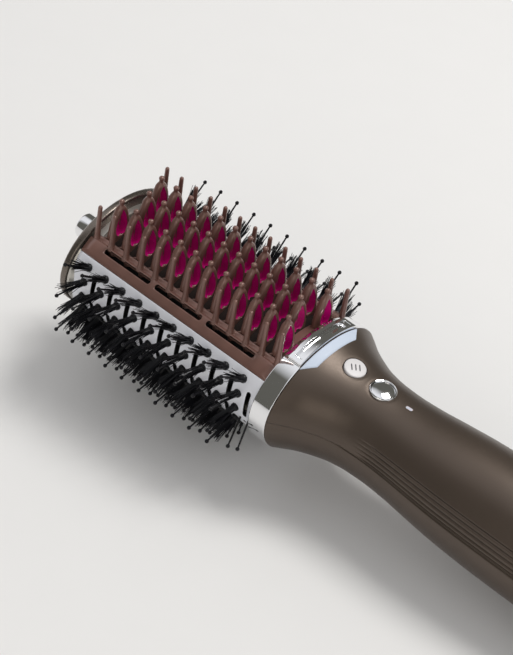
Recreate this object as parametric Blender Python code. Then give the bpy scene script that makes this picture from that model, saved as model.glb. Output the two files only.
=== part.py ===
"""A hot air brush: an oval heated head with a comb of leaf-shaped fins on top,
tufted bristle rows around the rest, a polished collar and a round grip with
two push buttons.

Units are metres. The model is laid out along its own X axis, from the rear of
the grip (negative) to the tip (positive), with the comb facing +Z, and is then
laid down on the floor by one tilted empty: it rests on the bristles nearest
the collar and on the rear edge of the grip.
"""

import math

import bmesh
import bpy
import numpy as np
from mathutils import Matrix, Vector
from mathutils.geometry import delaunay_2d_cdt

# Head
CLEARANCE = 0.0003
BARREL_HALF_WIDTH = 0.0300
BARREL_HALF_HEIGHT = 0.0240
BARREL_WALL = 0.0020
BARREL_REAR_X = -0.0020
BARREL_TIP_X = 0.0963
COMB_EDGE_ANGLE = math.radians(54.4)

# Collar band: its two ends
COLLAR_FRONT_X = 0.0017
COLLAR_REAR_X = -0.0050

# Comb plate with its fins and pins
PLATE_WALL = 0.0018
PLATE_EDGE_Y = BARREL_HALF_WIDTH * math.sin(COMB_EDGE_ANGLE)
FIN_TIP_INSET = 0.00564
FIN_REAR_INSET = 0.00536
FIN_COUNT = 12
FIN_FIRST_X = BARREL_TIP_X - FIN_TIP_INSET
FIN_PITCH = (FIN_FIRST_X - COLLAR_FRONT_X - FIN_REAR_INSET) / (FIN_COUNT - 1)
FIN_ROW_Y = 0.0110
FIN_SIDE_TIP_Z = 0.0358
FIN_MIDDLE_TIP_Z = 0.0365
FIN_THICKNESS = 0.0026
FIN_HALF_WIDTH = 0.0056
FIN_ROOT = 0.0010
FIN_FRAME = 0.0011
FIN_WINDOW_TOP = 0.0052
PIN_EDGE_INSET = 0.0060
PIN_ROW_Y = PLATE_EDGE_Y - PIN_EDGE_INSET
PIN_TIP_Z = 0.0341
PIN_FOOT_RADIUS = 0.0012
PIN_TIP_RADIUS = 0.0008
PIN_SIDES = 5
VENT_EDGE_INSET = 0.0036
VENT_Y = PLATE_EDGE_Y - VENT_EDGE_INSET
VENT_WIDTH = 0.0017
VENT_BAR = 0.0025
VENT_REAR_INSET = 0.01045
VENT_TIP_INSET = 0.00865
VENT_COUNT = 3
VENT_REAR_X = COLLAR_FRONT_X + VENT_REAR_INSET
VENT_PITCH = (BARREL_TIP_X - VENT_TIP_INSET - VENT_REAR_X + VENT_BAR) / VENT_COUNT
VENT_LENGTH = VENT_PITCH - VENT_BAR
VENT_SIDES = 8

# Half outline of a fin: shares of the half width, and of the height from tip
FIN_OUTLINE_SHARES = (
    (0.13, 0.00),
    (0.20, 0.06),
    (0.16, 0.20),
    (0.56, 0.50),
    (1.00, 1.00),
)
WINDOW_OUTLINE_SHARES = (
    (0.12, 0.00),
    (0.56, 0.34),
    (1.00, 1.00),
)

# Insert that shows in the windows of the fins
INSERT_WALL = 0.0012
INSERT_BLADE_THICKNESS = 0.0012
INSERT_HALF_WIDTH = 0.0178
INSERT_REAR_INSET = 0.0018
INSERT_REAR_X = COLLAR_FRONT_X + INSERT_REAR_INSET
CAP_SPIGOT_LENGTH = 0.0036
INSERT_TIP_GAP = 0.0004
INSERT_TIP_X = BARREL_TIP_X - CAP_SPIGOT_LENGTH - INSERT_TIP_GAP

# Tufts: strips with two rows each, flush with the barrel
STRIP_HALF_WIDTH = 0.0043
STRIP_WALL = 0.0020
STRIP_REAR_INSET = 0.0038
STRIP_TIP_INSET = 0.0014
STRIP_REAR_X = COLLAR_FRONT_X + STRIP_REAR_INSET
STRIP_TIP_X = BARREL_TIP_X - STRIP_TIP_INSET
TUFT_COLUMNS = 10
TUFT_ROWS = 20
TUFT_REAR_INSET = 0.00535
TUFT_TIP_INSET = 0.0053
TUFT_LAST_X = STRIP_REAR_X + TUFT_REAR_INSET
TUFT_PITCH = (STRIP_TIP_X - TUFT_TIP_INSET - TUFT_LAST_X) / (TUFT_COLUMNS - 1)
TUFT_EDGE_ANGLE = math.radians(6.9)
TUFT_FIRST_ANGLE = COMB_EDGE_ANGLE + TUFT_EDGE_ANGLE
STRAND_LENGTH = 0.0138
STRAND_FOOT_RADIUS = 0.00075
STRAND_TIP_RADIUS = 0.00045
TUFT_LENGTH = 0.0098
TUFT_FOOT_RADIUS = 0.00095
TUFT_TIP_RADIUS = 0.0007
STRAND_OFFSET = 0.0011
STRAND_LEAN = 0.0016
TUFT_LEAN = 0.0008
STRIP_SLOT_WIDTH = 0.0013
STRIP_SLOT_HALF_LENGTH = 0.0029
SLOTTED_STRIPS = 3
FLOOR_CUT = 0.0005

# Tip: ring, cap and knob
RING_GAP_X = 0.0003
TIP_RING_LENGTH = 0.0018
TIP_RING_PROUD = 0.0005
CAP_PROUD = 0.0014
CAP_RIM_LENGTH = 0.0032
CAP_DOME_LENGTH = 0.0075
CAP_WALL = 0.0020
KNOB_RADIUS = 0.0050
KNOB_LENGTH = 0.0084
KNOB_BEVEL = 0.0007
KNOB_SEAT_DEPTH = 0.0012
KNOB_STEM_RADIUS = 0.0026

# Collar with its raised bridge and the pale tongue behind it
COLLAR_WALL = 0.0012
COLLAR_BEVEL = 0.0005
BRIDGE_ANGLE = math.radians(31.0)
BRIDGE_HEIGHT = 0.0011
BRIDGE_FRONT_INSET = 0.0005
BRIDGE_FRONT_X = COLLAR_FRONT_X - BRIDGE_FRONT_INSET
RECESS_ANGLE = math.radians(26.0)
RECESS_FRONT_INSET = 0.0029
RECESS_REAR_INSET = 0.0012
RECESS_FRONT_X = COLLAR_FRONT_X - RECESS_FRONT_INSET
RECESS_REAR_X = COLLAR_REAR_X + RECESS_REAR_INSET
RECESS_DEPTH = 0.0013
TONGUE_ANGLE = math.radians(32.0)
TONGUE_LENGTH = 0.0038
TONGUE_THICKNESS = 0.0014
TONGUE_PROUD = 0.0004
TONGUE_CORNER_SHARE = 0.72

# Grip: half width, half height and lift of the section at each station
GRIP_REAR_X = -0.2060
GRIP_WALL = 0.0022
GRIP_FRONT_GAP = 0.0003
GRIP_NECK_X = -0.0400
GRIP_BELLY_X = -0.1100
GRIP_NECK_RADIUS = 0.0188
GRIP_BELLY_RADIUS = 0.0225
GRIP_REAR_RADIUS = 0.0188
GRIP_LIFT = 0.0010
# Shares of the way from collar to neck, and of what is left of the flare
FLARE_SHARES = (
    (0.00, 1.000, 1.000),
    (0.09, 0.830, 0.790),
    (0.20, 0.610, 0.560),
    (0.36, 0.370, 0.330),
    (0.56, 0.140, 0.130),
    (0.78, 0.025, 0.025),
    (1.00, 0.000, 0.000),
)
# Shares of the way from neck to belly, and of the growth in radius
BELLY_SHARES = (
    (0.14, 0.12),
    (0.28, 0.38),
    (0.50, 0.74),
    (0.75, 0.94),
    (1.00, 1.00),
)
# Shares of the way from belly to rear, and of the fall in radius
REAR_SHARES = (
    (0.30, 0.12),
    (0.60, 0.45),
    (0.85, 0.80),
    (1.00, 1.00),
)
SEAM_ANGLE = math.radians(84.0)
GROOVE_COUNT = 3
GROOVE_WIDTH = 0.0005
GROOVE_DEPTH = 0.0004
GROOVE_PITCH_ANGLE = math.radians(6.0)
GROOVE_FIRST_ANGLE = math.radians(66.0)
GROOVE_START_X = -0.0450

# Buttons and light, one behind the other from the tongue backwards
MODE_BUTTON_RADIUS = 0.0047
MODE_BUTTON_TILT = math.radians(-12.0)
MODE_BUTTON_PROUD = 0.0006
MODE_BUTTON_GAP = 0.0044
POWER_BUTTON_RADIUS = 0.0052
POWER_BUTTON_TILT = math.radians(-3.0)
POWER_BUTTON_PROUD = 0.0007
POWER_RING_GAP = 0.0023
LED_GAP = 0.0039
BUTTON_DOME = 0.0005
BUTTON_SKIRT = 0.0040
BUTTON_FLANGE = 0.0007
BUTTON_FLANGE_THICKNESS = 0.0008
BUTTON_STEM_RADIUS = 0.0014
BUTTON_TRAVEL = 0.0008
MARK_LENGTH = 0.0030
MARK_WIDTH = 0.0005
MARK_PITCH = 0.0014
MARK_DEPTH = 0.0002
RING_WIDTH = 0.0008
RING_HEIGHT = 0.0014
RING_PROUD = 0.0004
LED_LENGTH = 0.0036
LED_WIDTH = 0.0019
LED_HEIGHT = 0.0030
LED_PROUD = 0.0001
HOLE_OVERRUN = 0.0040
MODE_BUTTON_X = COLLAR_REAR_X - CLEARANCE - TONGUE_LENGTH - MODE_BUTTON_GAP - MODE_BUTTON_RADIUS
POWER_RING_RADIUS = POWER_BUTTON_RADIUS + CLEARANCE + RING_WIDTH
POWER_BUTTON_X = MODE_BUTTON_X - MODE_BUTTON_RADIUS - POWER_RING_GAP - POWER_RING_RADIUS
LED_X = POWER_BUTTON_X - POWER_RING_RADIUS - LED_GAP - LED_LENGTH / 2.0

# Switch board under the buttons and the light
BOARD_FRONT_MARGIN = 0.0072
BOARD_REAR_MARGIN = 0.0115
BOARD_FRONT_X = MODE_BUTTON_X + BOARD_FRONT_MARGIN
BOARD_REAR_X = LED_X - BOARD_REAR_MARGIN
BOARD_WIDTH = 0.0172
BOARD_THICKNESS = 0.0016
BOARD_DEPTH = 0.0108
BOARD_TOP_Z = GRIP_NECK_RADIUS + GRIP_LIFT - BOARD_DEPTH
SWITCH_SIZE = 0.0052
SWITCH_HEIGHT = 0.0020
SWITCH_PLUNGER_RADIUS = 0.0015
SWITCH_PLUNGER_HEIGHT = 0.0015
BOARD_POST_RADIUS = 0.0016
BOARD_POST_INSET = 0.0030
BOARD_POST_Y = BOARD_WIDTH / 2.0 - BOARD_POST_RADIUS - CLEARANCE

# Heater in the head
HEATER_REAR_INSET = 0.0043
HEATER_TIP_GAP = 0.0087
HEATER_REAR_X = COLLAR_FRONT_X + HEATER_REAR_INSET
HEATER_TIP_X = BARREL_TIP_X - CAP_SPIGOT_LENGTH - HEATER_TIP_GAP
HEATER_HALF_WIDTH = 0.0150
HEATER_HALF_HEIGHT = 0.0110
HEATER_PLATE = 0.0012
HEATER_SPIDER = 0.0030

# Motor, fan and rear end
MOTOR_RADIUS = 0.0125
MOTOR_LENGTH = 0.0300
MOTOR_SETBACK = 0.0500
MOTOR_REAR_X = GRIP_REAR_X + MOTOR_SETBACK
MOTOR_MOUNT_WALL = 0.0024
MOTOR_MOUNT_LENGTH = 0.0080
MOTOR_SPOKES = 4
MOTOR_SPOKE_ANGLE = math.radians(24.0)
SHAFT_RADIUS = 0.0012
FAN_HUB_RADIUS = 0.0050
FAN_TIP_GAP = 0.0016
FAN_HUB_LENGTH = 0.0070
FAN_BLADES = 7
FAN_BLADE_THICKNESS = 0.0010
FAN_BLADE_TWIST = math.radians(32.0)
FAN_GAP = 0.0010
INLET_LENGTH = 0.0080
INLET_WALL = 0.0022
INLET_SPIGOT_LENGTH = 0.0040
INLET_BEVEL = 0.0022
INLET_SLOTS = 14
INLET_SLOT_WIDTH = 0.0022
INLET_SLOT_BORE_GAP = 0.0033
INLET_SLOT_EDGE_GAP = 0.0014
GLAND_BORE_RADIUS = 0.0052
GLAND_LENGTH = 0.0130
GLAND_LIP = 0.0012
GLAND_LIP_THICKNESS = 0.0015
GLAND_CORD_RADIUS = 0.0032
GLAND_CORD_DEPTH = 0.0030

# Facets
ARC_STEPS = 12
BARREL_ARC_STEPS = 36
PLATE_ARC_STEPS = 8
LOWER_ARC_STEPS = 18
RING_STEPS = 32
ROUND_STEPS = 18


def clear_scene():
    """Start from an empty scene."""
    for obj in list(bpy.data.objects):
        bpy.data.objects.remove(obj, do_unlink=True)


def material(name, colour, roughness, metallic=0.0):
    """A Principled material of its own for a part."""
    mat = bpy.data.materials.new(name)
    mat.use_nodes = True
    shader = mat.node_tree.nodes["Principled BSDF"]
    shader.inputs["Base Color"].default_value = (*colour, 1.0)
    shader.inputs["Roughness"].default_value = roughness
    shader.inputs["Metallic"].default_value = metallic
    mat.diffuse_color = (*colour, 1.0)
    return mat


def part(name, bm, mat, parent, smooth=30.0):
    """Turn a bmesh into a named object under the resting empty."""
    bmesh.ops.recalc_face_normals(bm, faces=bm.faces)
    mesh = bpy.data.meshes.new(name)
    bm.to_mesh(mesh)
    bm.free()
    mesh.shade_smooth()
    mesh.set_sharp_from_angle(angle=math.radians(smooth))
    obj = bpy.data.objects.new(name, mesh)
    bpy.context.scene.collection.objects.link(obj)
    obj.parent = parent
    mesh.materials.append(mat)
    return obj


def guide(name, bm, parent):
    """A cutter or an added shape that isn't a part itself."""
    obj = part(name, bm, GUIDE_MATERIAL, parent)
    obj.hide_render = True
    obj.display_type = "WIRE"
    return obj


def combine(obj, other, operation):
    """Add a Boolean to a part."""
    mod = obj.modifiers.new(operation.title(), "BOOLEAN")
    mod.operation = operation
    mod.solver = "EXACT"
    mod.object = other
    return mod


def oval(half_width, half_height, angle, lift=0.0):
    """A point of an upright oval; the angle runs from the top to +Y."""
    return half_width * math.sin(angle), half_height * math.cos(angle) + lift


def angles(first, last, steps):
    """Even angles from first to last, both included."""
    return [first + (last - first) * i / steps for i in range(steps + 1)]


def bridge(bm, rows, closed):
    """Skin between rows of vertices, each row as long as the next."""
    for row, after in zip(rows[:-1], rows[1:]):
        count = len(row)
        for i in range(count if closed else count - 1):
            j = (i + 1) % count
            bm.faces.new((row[i], row[j], after[j], after[i]))


def oval_tube(bm, stations):
    """A closed skin of revolution with oval sections.

    A station is (x, half width, half height, lift); the first and the last
    are closed with a flat face, or meet when they are the same station.
    """
    turn = angles(0.0, 2.0 * math.pi, RING_STEPS)[:-1]
    rows = []
    for x, half_width, half_height, lift in stations:
        points = (oval(half_width, half_height, a, lift) for a in turn)
        rows.append([bm.verts.new((x, y, z)) for y, z in points])
    bridge(bm, rows, True)
    return rows


def oval_solid(stations):
    """A solid with oval sections and flat ends."""
    bm = bmesh.new()
    rows = oval_tube(bm, stations)
    bm.faces.new(rows[0])
    bm.faces.new(rows[-1])
    return bm


def oval_ring(stations):
    """A ring whose section is the closed outline of the stations."""
    bm = bmesh.new()
    rows = oval_tube(bm, stations)
    bridge(bm, [rows[-1], rows[0]], True)
    return bm


def zip_rows(bm, first, second, first_angles, second_angles):
    """Close the flat end between two arcs with triangles, in step."""
    i, j = 0, 0
    while i < len(first) - 1 or j < len(second) - 1:
        more_first = i < len(first) - 1
        more_second = j < len(second) - 1
        if more_first and (not more_second or first_angles[i + 1] <= second_angles[j + 1]):
            bm.faces.new((first[i], first[i + 1], second[j]))
            i += 1
        else:
            bm.faces.new((first[i], second[j + 1], second[j]))
            j += 1


def sector(outer, inner, stations, outer_angles, inner_angles):
    """A shell that covers part of the turn.

    outer and inner give (y, z) for a station and an angle. The two skins may
    have different numbers of points; the ends and edges are closed flat.
    """
    bm = bmesh.new()
    out_rows = []
    in_rows = []
    for station in stations:
        out_points = [(station[0], *outer(station, a)) for a in outer_angles]
        in_points = [(station[0], *inner(station, a)) for a in inner_angles]
        out_rows.append([bm.verts.new(p) for p in out_points])
        in_rows.append([bm.verts.new(p) for p in in_points])
    bridge(bm, out_rows, False)
    bridge(bm, in_rows, False)
    for end in (0, -1):
        edge = [row[end] for row in out_rows]
        bridge(bm, [edge, [row[end] for row in in_rows]], False)
    for end in (0, -1):
        zip_rows(bm, out_rows[end], in_rows[end], outer_angles, inner_angles)
    return bm


def prism_x(bm, outline, x_middle, thickness):
    """A flat outline of (y, z) points made thick along X."""
    ends = []
    for side in (-1.0, 1.0):
        x = x_middle + side * thickness / 2.0
        ends.append([bm.verts.new((x, y, z)) for y, z in outline])
    bridge(bm, ends, True)
    bm.faces.new(ends[0])
    bm.faces.new(ends[1])


def disc_stack(bm, steps, frame, sides=ROUND_STEPS):
    """A turned solid: (height, radius) steps along the frame's Z axis."""
    rows = []
    for height, radius in steps:
        row = []
        for i in range(sides):
            a = 2.0 * math.pi * i / sides
            spot = Vector((radius * math.cos(a), radius * math.sin(a), height))
            row.append(bm.verts.new(frame @ spot))
        rows.append(row)
    bridge(bm, rows, True)
    bm.faces.new(rows[0])
    bm.faces.new(rows[-1])


def box(bm, low, high, frame=Matrix.Identity(4)):
    """A box between two corners of a frame."""
    corners = []
    for z in (low[2], high[2]):
        for x, y in ((low[0], low[1]), (high[0], low[1]), (high[0], high[1]), (low[0], high[1])):
            corners.append(bm.verts.new(frame @ Vector((x, y, z))))
    bm.faces.new(corners[:4])
    bm.faces.new(corners[4:])
    for i in range(4):
        j = (i + 1) % 4
        bm.faces.new((corners[i], corners[j], corners[4 + j], corners[4 + i]))


def along_x(x, y=0.0, z=0.0):
    """A frame whose Z axis points to the tip."""
    turn = Matrix.Rotation(math.pi / 2.0, 4, "Y")
    return Matrix.Translation((x, y, z)) @ turn


def barrel_height(y):
    """Height of the barrel's skin over the axis at a sideways place."""
    return BARREL_HALF_HEIGHT * math.sqrt(1.0 - (y / BARREL_HALF_WIDTH) ** 2)


def grip_stations():
    """Stations of the grip from the collar to the rear."""
    front_x = COLLAR_REAR_X - GRIP_FRONT_GAP
    flare_y = BARREL_HALF_WIDTH + COLLAR_WALL - GRIP_NECK_RADIUS
    flare_z = BARREL_HALF_HEIGHT + COLLAR_WALL - GRIP_NECK_RADIUS
    stations = []
    for way, wide, tall in FLARE_SHARES:
        x = front_x + (GRIP_NECK_X - front_x) * way
        lift = GRIP_LIFT * (1.0 - tall)
        stations.append((x, GRIP_NECK_RADIUS + flare_y * wide, GRIP_NECK_RADIUS + flare_z * tall, lift))
    for way, grown in BELLY_SHARES:
        x = GRIP_NECK_X + (GRIP_BELLY_X - GRIP_NECK_X) * way
        radius = GRIP_NECK_RADIUS + (GRIP_BELLY_RADIUS - GRIP_NECK_RADIUS) * grown
        stations.append((x, radius, radius, GRIP_LIFT))
    for way, fallen in REAR_SHARES:
        x = GRIP_BELLY_X + (GRIP_REAR_X - GRIP_BELLY_X) * way
        radius = GRIP_BELLY_RADIUS + (GRIP_REAR_RADIUS - GRIP_BELLY_RADIUS) * fallen
        stations.append((x, radius, radius, GRIP_LIFT))
    return stations


def tuft_angles():
    """Angles of the tuft rows, even along the oval, both sides alike."""
    fine = np.linspace(TUFT_FIRST_ANGLE, 2.0 * math.pi - TUFT_FIRST_ANGLE, 2001)
    y = BARREL_HALF_WIDTH * np.sin(fine)
    z = BARREL_HALF_HEIGHT * np.cos(fine)
    run = np.concatenate(([0.0], np.cumsum(np.hypot(np.diff(y), np.diff(z)))))
    wanted = np.linspace(0.0, run[-1], TUFT_ROWS)
    return np.interp(wanted, run, fine), run[-1] / (TUFT_ROWS - 1)


def strip_frames():
    """Middle angle of each strip and the half angle that it covers."""
    rows, spacing = tuft_angles()
    strips = []
    for i in range(0, TUFT_ROWS, 2):
        middle = (rows[i] + rows[i + 1]) / 2.0
        speed = math.hypot(BARREL_HALF_WIDTH * math.cos(middle), BARREL_HALF_HEIGHT * math.sin(middle))
        strips.append((middle, speed, spacing))
    return strips


def skin_point(x, angle, depth=0.0):
    """A point on the barrel's skin, or as deep under it as asked."""
    y, z = oval(BARREL_HALF_WIDTH - depth, BARREL_HALF_HEIGHT - depth, angle)
    return Vector((x, y, z))


def skin_normal(angle):
    """The outward direction of the barrel's skin."""
    y, z = math.sin(angle) / BARREL_HALF_WIDTH, math.cos(angle) / BARREL_HALF_HEIGHT
    return Vector((0.0, y, z)).normalized()


def tuft_xs():
    """Places of the tuft columns along the barrel."""
    return [TUFT_LAST_X + TUFT_PITCH * i for i in range(TUFT_COLUMNS)]


def rest_pose():
    """Tilt and lift that lay the brush on its bristles and its rear edge."""
    lowest = BARREL_HALF_HEIGHT + STRAND_LENGTH - FLOOR_CUT
    rear_x = GRIP_REAR_X - INLET_LENGTH - CLEARANCE + INLET_BEVEL
    rear_low = GRIP_REAR_RADIUS - GRIP_LIFT
    tuft_x = TUFT_LAST_X
    tilt = math.atan2(lowest - rear_low, tuft_x - rear_x)
    lift = math.cos(tilt) * lowest - math.sin(tilt) * tuft_x
    return tilt, lift


def strip_mesh(middle, speed, spacing, floor, slotted, mirrored):
    """A backing strip with its vent slots, if any, and two rows of strands.

    The skin is drawn flat as (along, around) and bent onto the oval; each
    strand stands on its own foot in that skin.
    """
    half = STRIP_HALF_WIDTH
    rim = [
        (STRIP_REAR_X, -half),
        (STRIP_TIP_X, -half),
        (STRIP_TIP_X, 0.0),
        (STRIP_TIP_X, half),
        (STRIP_REAR_X, half),
        (STRIP_REAR_X, 0.0),
    ]
    slots = []
    xs = tuft_xs()
    for left, right in zip(xs[:-1], xs[1:]) if slotted else ():
        x = (left + right) / 2.0
        w, h = STRIP_SLOT_WIDTH / 2.0, STRIP_SLOT_HALF_LENGTH
        slots.append([(x - w, -h), (x + w, -h), (x + w, h), (x - w, h)])
    feet = []
    for column, x in enumerate(xs):
        for side in (-1.0, 1.0):
            u = side * spacing / 2.0
            paired = (column % 2 == 0) == (side > 0.0)
            for kind in (0, 1) if paired else (0,):
                radius = (STRAND_FOOT_RADIUS, TUFT_FOOT_RADIUS)[kind]
                shift = (STRAND_OFFSET, -STRAND_OFFSET)[kind]
                place = (x + shift, u)
                turn = [math.pi * (2.0 * k / 3.0 + kind / 3.0) for k in range(3)]
                ring = [(place[0] + radius * math.cos(a), place[1] + radius * math.sin(a)) for a in turn]
                feet.append((place, kind, ring))

    def on_skin(point, depth=0.0):
        angle = middle + point[1] / speed
        return skin_point(point[0], angle, depth)

    def fill(loops, holes):
        points, edges = [], []
        for loop in loops + holes:
            start = len(points)
            points.extend(Vector(p) for p in loop)
            edges.extend((start + i, start + (i + 1) % len(loop)) for i in range(len(loop)))
        rings = [loops[0]] + holes
        found = delaunay_2d_cdt(points, edges, [], 1, 1e-7)
        kept = []
        for face in found[2]:
            centre = sum((found[0][i] for i in face), Vector((0.0, 0.0))) / len(face)
            if not any(inside(centre, hole) for hole in rings[1:]):
                kept.append([found[3][i][0] for i in face])
        return points, kept

    def inside(spot, loop):
        hit = False
        for (x1, y1), (x2, y2) in zip(loop, loop[1:] + loop[:1]):
            if (y1 > spot[1]) != (y2 > spot[1]):
                if spot[0] < x1 + (spot[1] - y1) / (y2 - y1) * (x2 - x1):
                    hit = not hit
        return hit

    bm = bmesh.new()
    foot_loops = [ring for _, _, ring in feet]
    points, faces = fill([rim], slots + foot_loops)
    outer = [bm.verts.new(on_skin(p)) for p in points]
    for face in faces:
        bm.faces.new([outer[i] for i in face])
    points_in, faces_in = fill([rim], slots)
    inner = [bm.verts.new(on_skin(p, STRIP_WALL)) for p in points_in]
    for face in faces_in:
        bm.faces.new([inner[i] for i in face])
    start = 0
    for loop in [rim] + slots:
        count = len(loop)
        for i in range(count):
            j = (i + 1) % count
            bm.faces.new((outer[start + i], outer[start + j], inner[start + j], inner[start + i]))
        start += count
    to_world, floor_z = floor
    for place, kind, ring in feet:
        root = on_skin(place)
        angle = middle + place[1] / speed
        out = skin_normal(angle)
        lean = (STRAND_LEAN, -TUFT_LEAN)[kind]
        length = (STRAND_LENGTH, TUFT_LENGTH)[kind]
        narrow = (STRAND_TIP_RADIUS / STRAND_FOOT_RADIUS, TUFT_TIP_RADIUS / TUFT_FOOT_RADIUS)[kind]
        low_row = [outer[start + k] for k in range(3)]
        high_row = []
        for k in range(3):
            rise = low_row[k].co - root
            tip = root + out * length + Vector((lean, 0.0, 0.0)) + (rise - out * rise.dot(out)) * narrow
            foot = to_world @ low_row[k].co
            world = to_world @ tip
            if world.z < floor_z:
                tip = low_row[k].co.lerp(tip, (foot.z - floor_z) / (foot.z - world.z))
            high_row.append(bm.verts.new(tip))
        bridge(bm, [low_row, high_row], True)
        bm.faces.new(high_row)
        start += 3
    if mirrored:
        bmesh.ops.scale(bm, vec=(1.0, -1.0, 1.0), verts=bm.verts)
    return bm


def fin_outline(y_middle, tip_z, half_width, foot_drop, shares, top_drop=0.0, frame=0.0):
    """The outline of a fin, or of its window, as (y, z) points."""
    points = []
    for side in (-1.0, 1.0):
        foot_y = y_middle + side * half_width
        foot_z = barrel_height(foot_y) - foot_drop
        top_z = tip_z - top_drop
        half = [(y_middle + side * half_width * w, top_z + (foot_z - top_z) * h) for w, h in shares]
        points.append(half)
    return points[0][::-1] + points[1]


def fin_places():
    """Place and tip height of every fin: (x, y, tip z)."""
    places = []
    for k in range(FIN_COUNT):
        for side in (-1.0, 1.0):
            places.append((FIN_FIRST_X - FIN_PITCH * k, side * FIN_ROW_Y, FIN_SIDE_TIP_Z))
    for k in range(FIN_COUNT - 1):
        places.append((FIN_FIRST_X - FIN_PITCH * (k + 0.5), 0.0, FIN_MIDDLE_TIP_Z))
    return places


clear_scene()
GUIDE_MATERIAL = material("guide", (0.5, 0.5, 0.5), 0.5)

BROWN = (0.158, 0.080, 0.062)
MAGENTA = (0.42, 0.004, 0.105)
SILVER = (0.56, 0.56, 0.62)
BLACK = (0.012, 0.012, 0.014)
BRONZE = (0.105, 0.079, 0.062)
CHROME = (0.78, 0.77, 0.75)
WHITE = (0.78, 0.77, 0.76)

tilt, lift = rest_pose()
rest = bpy.data.objects.new("rest", None)
rest.location = (0.0, 0.0, lift)
rest.rotation_euler = (0.0, -tilt, 0.0)
bpy.context.scene.collection.objects.link(rest)
REST = Matrix.Translation((0.0, 0.0, lift)) @ Matrix.Rotation(-tilt, 4, "Y")


# Barrel: a gutter open under the comb plate, with a window for each strip
def barrel_outer(station, angle):
    return oval(BARREL_HALF_WIDTH, BARREL_HALF_HEIGHT, angle)


def barrel_inner(station, angle):
    return oval(BARREL_HALF_WIDTH - BARREL_WALL, BARREL_HALF_HEIGHT - BARREL_WALL, angle)


edge_gap = CLEARANCE / BARREL_HALF_HEIGHT
barrel_edge = COMB_EDGE_ANGLE + edge_gap
barrel_turn = angles(barrel_edge, 2.0 * math.pi - barrel_edge, BARREL_ARC_STEPS)
barrel_bm = sector(
    barrel_outer, barrel_inner, ((BARREL_REAR_X,), (BARREL_TIP_X,)), barrel_turn, barrel_turn
)
barrel = part("barrel_shell", barrel_bm, material("barrel_grey", SILVER, 0.42), rest)

windows = bmesh.new()
for middle, speed, spacing in strip_frames():
    reach = (STRIP_HALF_WIDTH + CLEARANCE) / speed
    rows = []
    for x in (STRIP_REAR_X - CLEARANCE, STRIP_TIP_X + CLEARANCE):
        row = []
        for depth, turn in ((-BARREL_WALL, (-1.0, 0.0, 1.0)), (BARREL_WALL * 2.0, (1.0, 0.0, -1.0))):
            for t in turn:
                row.append(windows.verts.new(skin_point(x, middle + reach * t, depth)))
        rows.append(row)
    bridge(windows, rows, True)
    windows.faces.new(rows[0])
    windows.faces.new(rows[1])
combine(barrel, guide("strip_windows", windows, rest), "DIFFERENCE")

strips = strip_frames()
for number in range(len(strips)):
    from_comb = min(number, len(strips) - 1 - number)
    middle, speed, spacing = strips[from_comb]
    slotted = from_comb < SLOTTED_STRIPS
    strip = strip_mesh(middle, speed, spacing, (REST, 0.0), slotted, number > from_comb)
    name = "bristle_strip_%02d" % (number + 1)
    part(name, strip, material(name, BLACK, 0.35), rest)


# Comb plate with fins, pins, windows and vent slots
def plate_outer(station, angle):
    return oval(BARREL_HALF_WIDTH, BARREL_HALF_HEIGHT, angle)


def plate_inner(station, angle):
    return oval(BARREL_HALF_WIDTH - PLATE_WALL, BARREL_HALF_HEIGHT - PLATE_WALL, angle)


plate_turn = angles(-COMB_EDGE_ANGLE, COMB_EDGE_ANGLE, PLATE_ARC_STEPS)
plate_bm = sector(plate_outer, plate_inner, ((BARREL_REAR_X,), (BARREL_TIP_X,)), plate_turn, plate_turn)
plate = part("comb_plate", plate_bm, material("comb_brown", BROWN, 0.38), rest)

teeth = bmesh.new()
for x, y, tip_z in fin_places():
    outline = fin_outline(y, tip_z, FIN_HALF_WIDTH, FIN_ROOT, FIN_OUTLINE_SHARES)
    prism_x(teeth, outline, x, FIN_THICKNESS)
for k in range(FIN_COUNT + 1):
    for side in (-1.0, 1.0):
        x = FIN_FIRST_X - FIN_PITCH * (k - 0.5)
        foot_z = barrel_height(PIN_ROW_Y) - FIN_ROOT
        spot = Matrix.Translation((x, side * PIN_ROW_Y, foot_z))
        height = PIN_TIP_Z - foot_z
        steps = ((0.0, PIN_FOOT_RADIUS), (height, PIN_TIP_RADIUS))
        disc_stack(teeth, steps, spot, PIN_SIDES)
combine(plate, guide("comb_teeth", teeth, rest), "UNION")

cuts = bmesh.new()
window_half = FIN_HALF_WIDTH - FIN_FRAME
for x, y, tip_z in fin_places():
    outline = fin_outline(
        y, tip_z, window_half, PLATE_WALL * 2.0, WINDOW_OUTLINE_SHARES, top_drop=FIN_WINDOW_TOP
    )
    prism_x(cuts, outline, x, FIN_THICKNESS + CLEARANCE)
for k in range(VENT_COUNT):
    for side in (-1.0, 1.0):
        x = VENT_REAR_X + VENT_LENGTH / 2.0 + VENT_PITCH * k
        z = barrel_height(VENT_Y)
        tall = PLATE_WALL * 2.0
        half_width = VENT_WIDTH / 2.0
        straight = VENT_LENGTH / 2.0 - half_width
        low, high = [], []
        for i in range(VENT_SIDES):
            a = 2.0 * math.pi * (i + 0.5) / VENT_SIDES
            shift = straight if math.cos(a) > 0.0 else -straight
            spot = (x + shift + half_width * math.cos(a), side * VENT_Y + half_width * math.sin(a))
            low.append(cuts.verts.new((*spot, z - tall)))
            high.append(cuts.verts.new((*spot, z + tall)))
        bridge(cuts, [low, high], True)
        cuts.faces.new(low)
        cuts.faces.new(high)
combine(plate, guide("comb_cuts", cuts, rest), "DIFFERENCE")

# Insert: one moulding under the plate whose blades stand in the windows
insert_depth = PLATE_WALL + CLEARANCE


def insert_outer(station, angle):
    return oval(BARREL_HALF_WIDTH - insert_depth, BARREL_HALF_HEIGHT - insert_depth, angle)


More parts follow.
